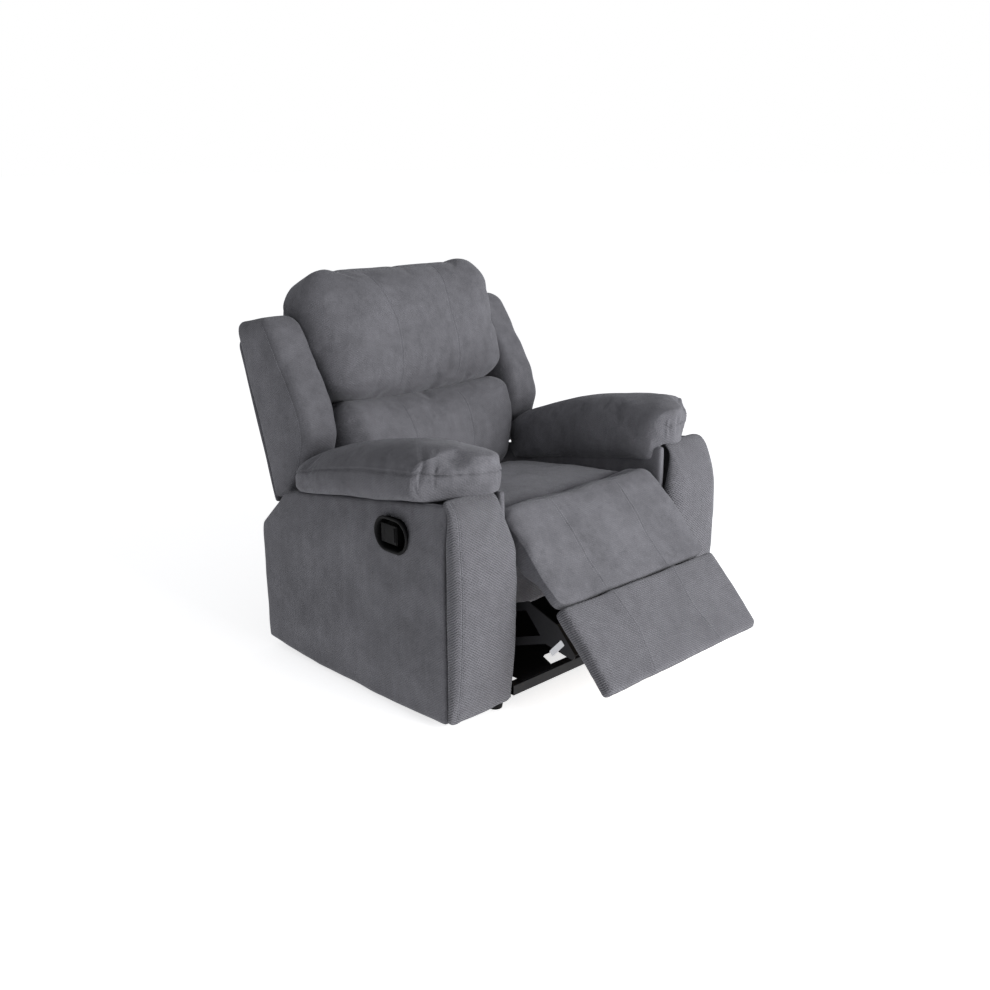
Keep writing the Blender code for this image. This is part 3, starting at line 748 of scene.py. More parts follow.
        # painted shade: weight of each point in a seam crease, which darkens the cloth there
        shade = np.zeros(len(points))
        for seam in self.seams:
            axis, sign, along, across = seam.face.value
            on_face = soft_step(plan[:, axis] * sign, half[axis] - 0.012, half[axis] - 0.001)
            line = np.array(seam.line, float)
            ends = soft_step(plan[:, along], line[0, 0] - 0.012, line[0, 0] + 0.004)
            ends *= soft_step(plan[:, along], line[-1, 0] + 0.012, line[-1, 0] - 0.004)
            gap = plan[:, across] - np.interp(plan[:, along], line[:, 0], line[:, 1])
            near = np.exp(-(gap / seam.width) ** 2)
            broad = np.exp(-(gap / 0.026) ** 2)
            ripple = np.stack([plan[:, along], np.abs(gap) * 0.18, gap * 0], axis=1)
            puckers = noise.at(ripple, 0.0135) * seam.gather * np.exp(-(gap / 0.036) ** 2)
            fold = np.exp(-((gap - seam.width * 1.2) / 0.0045) ** 2) * seam.welt
            push += on_face * ends * (puckers + fold - near * seam.depth - broad * seam.dip)
            shade += on_face * ends * near
        points += normals * push[:, None]
        mesh = self.piece.data
        mesh.vertices.foreach_set("co", points.astype(np.float32).ravel())
        mesh.update()
        for name, values in (("weave_place", points), ("weave_facing", normals)):
            mesh.attributes.new(name, "FLOAT_VECTOR", "POINT").data.foreach_set(
                "vector", values.astype(np.float32).ravel())
        # painted shade of the seam creases, read by the cloth's colour
        mesh.attributes.new("seam_shade", "FLOAT", "POINT").data.foreach_set(
            "value", np.clip(shade, 0, 1).astype(np.float32))

    def stitch(self, name: str, thread: bpy.types.Material) -> bpy.types.Object | None:
        """Lays thread along the rows of every seam.

        Args:
            name: Name of the stitching.
            thread: Its material.

        Returns:
            The stitching, or None where no seam has rows.
        """
        plan = [Vector(row) for row in self.read("plan", 3)]
        mesh = self.piece.data
        faces = [tuple(p.vertices) for p in mesh.polygons]
        flat = BVHTree.FromPolygons(plan, faces)
        half = block_half(self.stations)

        def on_cloth(target: Vector) -> tuple[Vector, Vector]:
            """The place and normal of a point given in the flat layout."""
            found, _, index, _ = flat.find_nearest(target)
            a, b, c = faces[index][:3]
            corners = [plan[i] for i in (a, b, c)] + [mesh.vertices[i].co for i in (a, b, c)]
            return barycentric_transform(found, *corners), mesh.vertices[a].normal

        bm = bmesh.new()
        for seam in self.seams:
            axis, sign, along, across = seam.face.value
            line = np.array(seam.line, float)
            count = int((line[-1, 0] - line[0, 0]) / THREAD_PITCH)
            for offset in seam.rows:
                for i in range(count):
                    ends = []
                    for extra in STITCH_ENDS:
                        p = line[0, 0] + (i + extra) * THREAD_PITCH
                        target = Vector((0, 0, 0))
                        target[axis] = sign * half[axis]
                        target[along] = p
                        target[across] = np.interp(p, line[:, 0], line[:, 1]) + offset
                        ends.append(on_cloth(target))
                    add_stitch(bm, *ends)
        if not bm.verts:
            bm.free()
            return None
        return as_object(bm, name, thread)

    def complete(self, material: bpy.types.Material, nodes: Sequence[str], body: str | None,
                 fill: float = 0.85) -> bpy.types.Object:
        """Args:
            material: Its cloth.
            nodes: The CAD nodes it stands for.
            body: The body it rides on, or None where it is left unattached.
            fill: How full it is; not used.

        Returns:
            The finished object.
        """
        self.piece.data.materials.clear()
        self.piece.data.materials.append(material)
        self.piece.data.shade_smooth()
        if body:
            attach(self.piece, body)
        if nodes:
            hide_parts(*nodes)
        LOG.info("%s: %d faces", self.name, len(self.piece.data.polygons))
        return self.piece


def add_stitch(bm: bmesh.types.BMesh, first: tuple[Vector, Vector], second: tuple[Vector, Vector]) -> None:
    """Adds one stitch of thread between two points of the cloth, given with their normals."""
    run = second[0] - first[0]
    if run.length < 1e-4:
        return
    up = (first[1] + second[1]).normalized()
    forward = run.normalized()
    across = forward.cross(up).normalized()
    lay = Matrix((forward, across, forward.cross(across))).transposed().to_4x4()
    middle = (first[0] + second[0]) / 2 + up * 0.0001
    size = Matrix.Diagonal((run.length * 0.62, THREAD_HALF, THREAD_HALF, 1.0))
    bmesh.ops.create_uvsphere(bm, u_segments=5, v_segments=3, radius=1.0,
                              matrix=Matrix.Translation(middle) @ lay @ size
                              @ Matrix.Rotation(math.pi / 2, 4, "Y"))


def as_object(bm: bmesh.types.BMesh, name: str, material: bpy.types.Material, flat_above: float = 180.0,
              ) -> bpy.types.Object:
    """Turns a bmesh into a smooth object with outward faces.

    Args:
        bm: The mesh, which is freed.
        name: The object's name.
        material: Its finish.
        flat_above: Angle in degrees past which an edge stays sharp.

    Returns:
        The new object.
    """
    bmesh.ops.remove_doubles(bm, verts=bm.verts, dist=1e-6)
    bmesh.ops.recalc_face_normals(bm, faces=bm.faces)
    mesh = bpy.data.meshes.new(name)
    bm.to_mesh(mesh)
    bm.free()
    mesh.shade_smooth()
    if flat_above < 180:
        mesh.set_sharp_from_angle(angle=math.radians(flat_above))
    mesh.materials.append(material)
    made = bpy.data.objects.new(name, mesh)
    bpy.context.scene.collection.objects.link(made)
    return made


def own_stitching(owner: SoftPiece, wardrobe: Wardrobe, body: str | None) -> bpy.types.Object | None:
    """Stitches a soft piece and rides the stitching on its body."""
    made = owner.stitch(f"{owner.name}_stitching", wardrobe.thread)
    if made:
        if body:
            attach(made, body)
    return made


def fill_together(pieces: Sequence[SoftPiece]) -> None:
    """Fills several pieces in one run of the cloth simulation, then refines and sews them."""
    scene = bpy.context.scene
    for soft in pieces:
        soft.load_cloth()
    for step in range(1, CLOTH_FRAMES + 1):
        scene.frame_set(step)
    for soft in pieces:
        soft.settle()
    scene.frame_set(1)
    for soft in pieces:
        soft.refine()
        soft.sew()


# ---------------------------------------------------------------- arms


@dataclass
class Arm:
    """One padded arm: its panels, its swelling front border and the pad on top."""

    side: int
    wall: float = 0.020
    outer: float = 0.485
    inner: float = 0.285
    pad_middle: float = 0.386
    pad_half: float = 0.113
    drape_height: float = 0.501
    mitre_ease: float = 0.011
    softs: list[SoftPiece] = field(default_factory=list)

    @property
    def word(self) -> str:
        """left or right."""
        return "left" if self.side > 0 else "right"

    def pad_stations(self) -> list[tuple[float, float, float, float, float]]:
        """The pad's stations from its front cap to its rear tip."""
        tops = [(-0.050, 0.634), (-0.030, 0.643), (0.000, 0.650), (0.060, 0.653), (0.160, 0.649),
                (0.300, 0.630), (0.450, 0.594), (0.560, 0.557), (0.615, 0.528), (0.632, 0.512)]
        widths = [0.100, 0.107, 0.112, 0.113, 0.113, 0.113, 0.112, 0.108, 0.098, 0.090]
        rows = []
        for (y, top), half in zip(tops, widths):
            low = LAYOUT.pad_underside(y) + 0.0005 + max(0.0, -0.025 - y) * 0.3
            rows.append((y, low, y, top, half))
        return rows

    def drape(self, points: np.ndarray, plan: np.ndarray) -> np.ndarray:
        """Lets the pad's inner side hang down to just above the seat."""
        x = np.abs(points[:, 0])
        y = points[:, 1] - LAYOUT.front
        under = 0.556 - 0.155 * y
        reach = soft_step(x, 0.305, 0.285) * soft_step(y, 0.0, 0.05) * soft_step(y, 0.63, 0.56)
        low = np.clip(1 - (points[:, 2] - under) / 0.060, 0, 1)
        points[:, 2] -= reach * low * np.maximum(under - (self.drape_height - 0.185 * y), 0)
        return self.mitre(points)

    def mitre(self, points: np.ndarray) -> np.ndarray:
        """Draws the pad's two front corners back, so that its nose is round and slants to the outside."""
        for slant, foot, ease in (((0.596, -0.803), (0.334, -0.004), self.mitre_ease),
                                  ((-0.719, -0.695), (0.361, -0.038), self.mitre_ease * 1.6)):
            x, y = np.abs(points[:, 0]), points[:, 1] - LAYOUT.front
            beyond = (x - foot[0]) * slant[0] + (y - foot[1]) * slant[1]
            kept = -np.logaddexp(0.0, -beyond / ease) * ease
            across, along = (kept - beyond) * slant[0], (kept - beyond) * slant[1]
            points[:, 0] += np.sign(points[:, 0]) * across * 0.35
            points[:, 1] += along * (1 + 0.65 * (slant[0] / slant[1]) ** 2)
        return points

    def make_softs(self) -> list[SoftPiece]:
        """Cuts every soft piece of the arm."""
        word, half_front = self.word, (self.outer - self.inner) / 2
        pad_half = block_half(self.pad_stations())
        welt = pad_half[2] - 0.046
        pad_seams = [
            Seam(Face.OUTER, [(-pad_half[1] - 0.01, welt), (pad_half[1] - 0.02, welt + 0.006)], depth=0.0030,
                 width=0.0048, dip=0.0010, gather=0.0022, welt=0.0020),
            Seam(Face.START, [(-0.12, welt - 0.012), (-0.04, welt - 0.004), (0.12, welt)], depth=0.0034,
                 width=0.005, dip=0.001, gather=0.0070, welt=0.0022),
        ]
        pad = SoftPiece(f"{word}_arm_pad", self.pad_stations(), self.side, self.pad_middle, 0.0085,
                        Rounding(0.060, 0.060, 0.060, 0.075, 0.022, 0.066), 0.016, pad_seams, 0.0026,
                        self.drape, 11 + self.side, 0.03)
        sole = 0.0175
        face = [(0.004, sole), (-0.012, 0.10), (-0.019, 0.16), (-0.025, 0.26), (-0.028, 0.35),
                (-0.025, 0.425), (-0.015, 0.48), (-0.003, 0.518), (0.012, 0.545), (0.034, 0.5590)]
        rise = (sole, 0.10, 0.16, 0.26, 0.35, 0.425, 0.48, 0.515, 0.536)
        rear = [(0.024, z) for z in rise] + [(0.052, 0.5560)]
        rows = [(*r, *f, half_front) for r, f in zip(rear, face)]
        border_half = block_half(rows)
        border = SoftPiece(
            f"{word}_arm_front_border", rows, self.side, (self.outer + self.inner) / 2, 0.0095,
            Rounding(0.030, 0.046, 0.010, 0.010, 0.004, 0.046), 0.005,
            [Seam(Face.OVER, [(-border_half[1] + 0.004, half_front - 0.013),
                              (border_half[1], half_front - 0.013)],
                  depth=0.0016, width=0.004, dip=0.0008, rows=(-0.0035, 0.0035), gather=0.0004)],
            0.0018, self.sag_front, 21 + self.side, 0.04)
        top = [(0.0245, 0.5520), (0.20, 0.5250), (0.40, 0.4940), (0.618, 0.4620), (0.668, 0.4470),
               (0.763, 0.3480)]
        low = [(0.0245, sole), (0.20, sole - 0.005), (0.40, sole - 0.008), (0.60, sole - 0.006),
               (0.68, sole - 0.002), (0.756, sole + 0.004)]
        rows = [(*a, *b, self.wall / 2) for a, b in zip(low, top)]
        outer = SoftPiece(f"{word}_arm_outer_panel", rows, self.side, self.outer - self.wall / 2, 0.0125,
                          Rounding(0.006, 0.003, 0.004, 0.010, 0.004, 0.004), 0.0, (), 0.0020, self.belly,
                          31 + self.side, 0.008)
        top = [(0.0245, 0.5520), (0.20, 0.5250), (0.40, 0.4940), (0.615, 0.4600), (0.662, 0.4440),
               (0.743, 0.3480)]
        low = [(y, 0.235) for y in (0.0245, 0.20, 0.40, 0.60, 0.68, 0.740)]
        rows = [(*a, *b, self.wall / 2) for a, b in zip(low, top)]
        inner = SoftPiece(f"{word}_arm_inner_panel", rows, self.side, self.inner + self.wall / 2, 0.014,
                          Rounding(0.003, 0.005, 0.004, 0.010, 0.004, 0.004), 0.0, (), 0.0008, None,
                          41 + self.side, 0.008)
        path = [(0.719, 0.031, 0.735, 0.031), (0.728, 0.20, 0.742, 0.20), (0.732, 0.340, 0.748, 0.347),
                (0.690, 0.392, 0.702, 0.402), (0.645, 0.434, 0.656, 0.446)]
        half_rear = (self.outer - self.inner) / 2 - self.wall - 0.0005
        rear_border = SoftPiece(f"{word}_arm_rear_border", [(*p, half_rear) for p in path], self.side,
                                (self.outer + self.inner) / 2, 0.012,
                                Rounding(0.004, 0.004, 0.004, 0.004, 0.003, 0.006), 0.0, (), 0.0008, None,
                                51 + self.side, 0.02)
        self.softs = [pad, border, outer, inner, rear_border]
        for soft in self.softs:
            soft.make()
        return [pad, border]

    def sag_front(self, points: np.ndarray, plan: np.ndarray) -> np.ndarray:
        """Draws the border's top in towards the pad and lets its hem wander a little."""
        noise = Crumple(60)
        share = soft_step(points[:, 2], 0.40, 0.54)
        x = np.abs(points[:, 0])
        points[:, 0] += np.sign(points[:, 0]) * share * soft_step(x, 0.40, 0.285) * 0.030
        hem = soft_step(points[:, 2], 0.06, 0.02)
        points[:, 2] += hem * (0.002 + 0.002 * noise.at(points, 0.06))
        return self.shoulder(points)

    def shoulder(self, points: np.ndarray) -> np.ndarray:
        """Rounds the arm's outer side in towards the pad."""
        x, under = np.abs(points[:, 0]), LAYOUT.pad_underside(points[:, 1] - LAYOUT.front)
        lean = soft_step(points[:, 2] - under, -0.13, 0.01) * soft_step(x, 0.40, 0.48)
        points[:, 0] -= np.sign(points[:, 0]) * lean * 0.017
        return points

    def belly(self, points: np.ndarray, plan: np.ndarray) -> np.ndarray:
        """Gives the outer panel its slight padded belly."""
        y, z = points[:, 1] - LAYOUT.front, points[:, 2]
        bulge = soft_step(y, 0.02, 0.12) * soft_step(y, 0.74, 0.58) * soft_step(z, 0.03, 0.12)
        bulge *= soft_step(z, 0.53, 0.40)
        outer = np.abs(points[:, 0]) > self.outer - self.wall / 2
        clear = soft_step(np.hypot(y - LATCH.centre[0], z - LATCH.centre[1]), 0.070, 0.150)
        points[:, 0] += np.sign(points[:, 0]) * bulge * outer * clear * 0.0065
        hem = soft_step(z, 0.06, 0.02)
        points[:, 2] += hem * (0.002 - 0.003 * np.sin(np.clip(y / 0.74, 0, 1) * math.pi)
                               + 0.0025 * Crumple(61).at(points, 0.07))
        return self.shoulder(points)

    def dress(self, wardrobe: Wardrobe) -> None:
        """Refines the flat panels, opens the latch hole, and dresses all pieces of the arm."""
        _, border, outer, *_ = self.softs
        for soft in self.softs[2:]:
            soft.refine()
            soft.sew()
        own_stitching(border, wardrobe, "base")
        if self.side < 0:
            self.open_latch_hole(outer)
        fills = {"pad": 0.8, "front_border": 0.95, "outer_panel": 1.0, "inner_panel": 1.0, "rear_border": 1.0}
        for soft, (part, fill) in zip(self.softs, fills.items()):
            cloth = wardrobe.ribbed if soft is border else wardrobe.nap
            soft.complete(cloth, [f"arm_{part}_{self.word}"], "base", fill)

    def open_latch_hole(self, panel: SoftPiece) -> None:
        """Cuts the hole for the latch's cup through the outer panel."""
        bm = bmesh.new()
        low = capsule_loop(bm, LATCH.half_length, LATCH.half_height, 0.0017, -self.outer - 0.02)
        high = capsule_loop(bm, LATCH.half_length, LATCH.half_height, 0.0017, -self.outer + self.wall + 0.01)
        bmesh.ops.bridge_loops(bm, edges=low + high)
        bmesh.ops.holes_fill(bm, edges=bm.edges, sides=0)
        cutter = as_object(bm, "latch_hole_cutter", bpy.data.materials[0])
        cut = panel.piece.modifiers.new("latch hole", "BOOLEAN")
        cut.operation, cut.object, cut.solver = "DIFFERENCE", cutter, "EXACT"
        evaluated = panel.piece.evaluated_get(bpy.context.evaluated_depsgraph_get())
        whole = panel.piece.data
        panel.piece.data = bpy.data.meshes.new_from_object(evaluated)
        panel.piece.modifiers.clear()
        bpy.data.meshes.remove(whole)
        bpy.data.objects.remove(cutter)


# ---------------------------------------------------------------- release latch


def capsule_loop(bm: bmesh.types.BMesh, half_length: float, half_height: float, grow: float, x: float,
                 ) -> list[bmesh.types.BMEdge]:
    """A closed loop of edges with two half-round ends, standing across the chair at x.

    Args:
        bm: The mesh to add it to.
        half_length: Half the latch's length.
        half_height: Half its height.
        grow: How much wider than the latch the loop is.
        x: Where it stands.

    Returns:
        Its edges.
    """
    made = bmesh.ops.create_circle(bm, segments=40, radius=half_height + grow)["verts"]
    reach = half_length - half_height
    for v in made:
        shift = reach if v.co.x > 1e-5 else -reach if v.co.x < -1e-5 else 0.0
        v.co = (x, LAYOUT.front + LATCH.centre[0] + v.co.x + shift, LATCH.centre[1] + v.co.y)
    return list({e for v in made for e in v.link_edges})


@dataclass
class Latch:
    """The pull latch in the right arm: an oblong cup with a rolled rim, and the paddle inside it."""

    centre: Pair = (0.203, 0.447)
    half_length: float = 0.055
    half_height: float = 0.038
    face: float = -0.485
    hinge: float = 0.240
    paddle_half: float = 0.0235

    def make_cup(self, wardrobe: Wardrobe) -> None:
        """Builds the cup from loops that run from its back, over the rim, to its floor."""
        levels = [(-0.030, 0.0335), (-0.004, 0.0335), (-0.0005, 0.030), (0.0, 0.004), (0.0012, -0.0006),
                  (0.0055, -0.0010), (0.0060, -0.0022), (0.0048, -0.0038), (0.0020, -0.0044),
                  (-0.0006, -0.0036), (-0.0022, -0.0010), (-0.0030, 0.010), (-0.0045, 0.0260),
                  (-0.0080, 0.0300), (-0.030, 0.0312)]
        bm = bmesh.new()
        loops = [capsule_loop(bm, self.half_length, self.half_height, grow, self.face + x)
                 for grow, x in levels]
        for first, second in zip(loops, loops[1:]):
            bmesh.ops.bridge_loops(bm, edges=first + second)
        bmesh.ops.holes_fill(bm, edges=loops[0] + loops[-1], sides=0)
        cup = as_object(bm, "latch_cup", wardrobe.plastic, 50)
        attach(cup, "base")
        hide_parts("release_cup")
        LOG.info("latch cup: %d faces", len(cup.data.polygons))

    def make_paddle(self, wardrobe: Wardrobe) -> None:
        """Builds the paddle: a rounded plate with a turned-in lip, a grip ridge and three small bosses."""
        bm = bmesh.new()
        front, rear = self.hinge - 0.057, self.hinge + 0.0028
        z = self.centre[1]
        plates = [
            ((front + rear) / 2, (rear - front) / 2, self.paddle_half, (0.0012, 0.0062), 0.0017, 3),
            (front + 0.003, 0.0030, self.paddle_half, (0.0012, 0.0232), 0.0017, 3),
            (front + 0.0105, 0.0024, self.paddle_half - 0.006, (-0.0010, 0.0022), 0.0012, 2),
        ]
        for y, half_y, half_z, (low, high), bevel, segments in plates:
            made = bmesh.ops.create_cube(bm, size=2.0)["verts"]
            bmesh.ops.scale(bm, vec=((high - low) / 2, half_y, half_z), verts=made)
            bmesh.ops.translate(bm, vec=(self.face + (low + high) / 2, LAYOUT.front + y, z), verts=made)
            edges = list({e for v in made for e in v.link_edges})
            bmesh.ops.bevel(bm, geom=edges, offset=bevel, segments=segments, profile=0.5, affect="EDGES",
                            material=-1)
        for step in (-1, 0, 1):
            spot = Matrix.Translation((self.face + 0.0012, LAYOUT.front + rear - 0.012,
                                       z + 0.004 + step * 0.0062))
            bmesh.ops.create_uvsphere(bm, u_segments=10, v_segments=6, radius=0.0011, matrix=spot)
        paddle = as_object(bm, "latch_paddle", wardrobe.plastic, 45)
        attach(paddle, "release_paddle")
        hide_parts("release_paddle")
        LOG.info("latch paddle: %d faces", len(paddle.data.polygons))

    def build(self, wardrobe: Wardrobe) -> None:
        """Builds the whole latch."""
        self.make_cup(wardrobe)
        self.make_paddle(wardrobe)


LATCH = Latch()


# ---------------------------------------------------------------- back


@dataclass
class Back:
    """The reclining back: head and lumbar cushions between two wings, and a flat rear panel."""

    seam_offset: float = 0.107
    head_middle: float = 0.007
    softs: list[SoftPiece] = field(default_factory=list)

    def rows(self, stations: Sequence[tuple[float, float, float, float, float]]) -> list[tuple]:
        """Turns rows of (rear s, rear t, front s, front t, half width) into side-on rows."""
        return [(*LAYOUT.back(a, b), *LAYOUT.back(c, d), half) for a, b, c, d, half in stations]

    def dip_split(self, points: np.ndarray, plan: np.ndarray) -> np.ndarray:
        """Lets the split between the two cushions sag in the middle."""
        s = self.height(points)
        reach = np.exp(-((s - 0.21) / 0.09) ** 2) * 0.018
        sag = reach * (1 - np.clip(np.abs(points[:, 0]) / 0.31, 0, 1) ** 2)
        up = np.array([0, math.sin(LAYOUT.back_angle), math.cos(LAYOUT.back_angle)])
        return points - sag[:, None] * up

    def height(self, points: np.ndarray) -> np.ndarray:
        """Distance of points up the back."""
        up = np.array([math.sin(LAYOUT.back_angle), math.cos(LAYOUT.back_angle)])
        foot = np.array([LAYOUT.front + LAYOUT.back_foot[0], LAYOUT.back_foot[1]])
        return (points[:, 1:] - foot) @ up

    def make_softs(self) -> list[SoftPiece]:
        """Cuts every soft piece of the back."""
        rear = 0.052
        head_rows = self.rows([
            (0.217, rear, 0.217, 0.252, 0.304), (0.270, rear, 0.270, 0.260, 0.312),
            (0.340, rear, 0.340, 0.264, 0.316), (0.420, rear, 0.420, 0.260, 0.320),
            (0.500, rear + 0.004, 0.500, 0.248, 0.324), (0.550, rear + 0.026, 0.569, 0.226, 0.320),
            (0.563, rear + 0.045, 0.585, 0.212, 0.312)])
        length = block_half(head_rows)[1]
        thirds = [
            Seam(Face.OVER, [(-length + 0.005, side * (self.seam_offset + 0.006)),
                             (0.0, side * (self.seam_offset - 0.008)),
                             (length * 0.97, side * (self.seam_offset + 0.02))],
                 depth=0.0009, width=0.004, dip=0.0030, rows=TWIN_ROWS, gather=0.0007) for side in (-1, 1)]
        head = SoftPiece("back_head_cushion", head_rows, middle=self.head_middle,
                         rounding=Rounding(0.085, 0.095, 0.044, 0.100, 0.03, 0.085), swell=0.021,
                         seams=thirds, rumple=0.0022, shaping=self.dip_split, seed=3)
        lumbar_rows = self.rows([
            (-0.066, rear, -0.066, 0.175, 0.270), (-0.02, rear, -0.02, 0.225, 0.280),
            (0.05, rear, 0.05, 0.258, 0.292), (0.11, rear, 0.11, 0.266, 0.304),
            (0.17, rear, 0.17, 0.260, 0.308), (0.2145, rear, 0.2145, 0.244, 0.306)])
        length = block_half(lumbar_rows)[1]
        thirds = [
            Seam(Face.OVER, [(-length + 0.005, side * (self.seam_offset + 0.012)),
                             (0.02, side * self.seam_offset),
                             (length * 0.97, side * (self.seam_offset + 0.004))],
                 depth=0.0009, width=0.004, dip=0.0025, rows=TWIN_ROWS, gather=0.0008) for side in (-1, 1)]
        thirds += [Seam(Face.OVER, [(-length, side * 0.262), (length, side * 0.285)], depth=0.0, width=0.02,
                        dip=0.0, gather=0.0030) for side in (-1, 1)]
        lumbar = SoftPiece("back_lumbar_cushion", lumbar_rows,
                           rounding=Rounding(0.060, 0.060, 0.050, 0.038, 0.02, 0.075), swell=0.018,
                           seams=thirds, rumple=0.0022, shaping=self.dip_split, seed=4)
        wings = [self.cut_wing(side) for side in (-1, 1)]
        panel_rows = self.rows([
            (s, 0.0, s, 0.0125, half) for s, half in
            ((-0.010, 0.424), (0.15, 0.424), (0.30, 0.424), (0.425, 0.424), (0.4550, 0.400), (0.4630, 0.272),
             (0.510, 0.258), (0.528, 0.240))])
        panel = SoftPiece("back_rear_cover", panel_rows, cell=0.011,
                          rounding=Rounding(0.004, 0.004, 0.004, 0.010, 0.005, 0.005), swell=0.0,
                          rumple=0.0007, seed=7, ease=0.008)
        self.softs = [head, lumbar, *wings, panel]
        for soft in self.softs:
            soft.make()
        return self.softs[:4]

    def cut_wing(self, side: int) -> SoftPiece:
        """Cuts one wing."""
        front = [(0.010, 0.090), (0.070, 0.185), (0.135, 0.235), (0.210, 0.240), (0.290, 0.222),
                 (0.385, 0.190), (0.440, 0.168), (0.468, 0.146)]
        rear = [(s, 0.0135) for s in (0.0, 0.07, 0.135, 0.21, 0.29, 0.39, 0.455, 0.484)]
        rows = self.rows([(*r, *f, 0.0545) for r, f in zip(rear, front)])
        half = block_half(rows)
        edge = half[2] - 0.030
        return SoftPiece(
            f"{'left' if side > 0 else 'right'}_back_wing", rows, side, 0.373, 0.0095,
            Rounding(0.026, 0.024, 0.012, 0.040, 0.006, 0.040), 0.007,
            [Seam(Face.OUTER, [(-half[1] + 0.03, edge), (half[1] - 0.02, edge)], depth=0.0010, width=0.0045,
                  dip=0.001, rows=(-0.0045,), gather=0.0006, welt=0.0004)], 0.0026, None, 71 + side)

    def dress(self, wardrobe: Wardrobe) -> None:
        """Dresses all pieces of the back."""
        *cushions, panel = self.softs
        panel.refine()
        panel.sew()
        for soft in cushions:
            own_stitching(soft, wardrobe, "back")
        fills = {"head_cushion": 0.85, "lumbar_cushion": 0.8, "back_wing_right": 0.95, "back_wing_left": 0.95,
                 "back_rear_panel": 1.0}
        for soft, (node, fill) in zip(self.softs, fills.items()):
            soft.complete(wardrobe.nap, [node], "back", fill)


# ---------------------------------------------------------------- seat and footrest


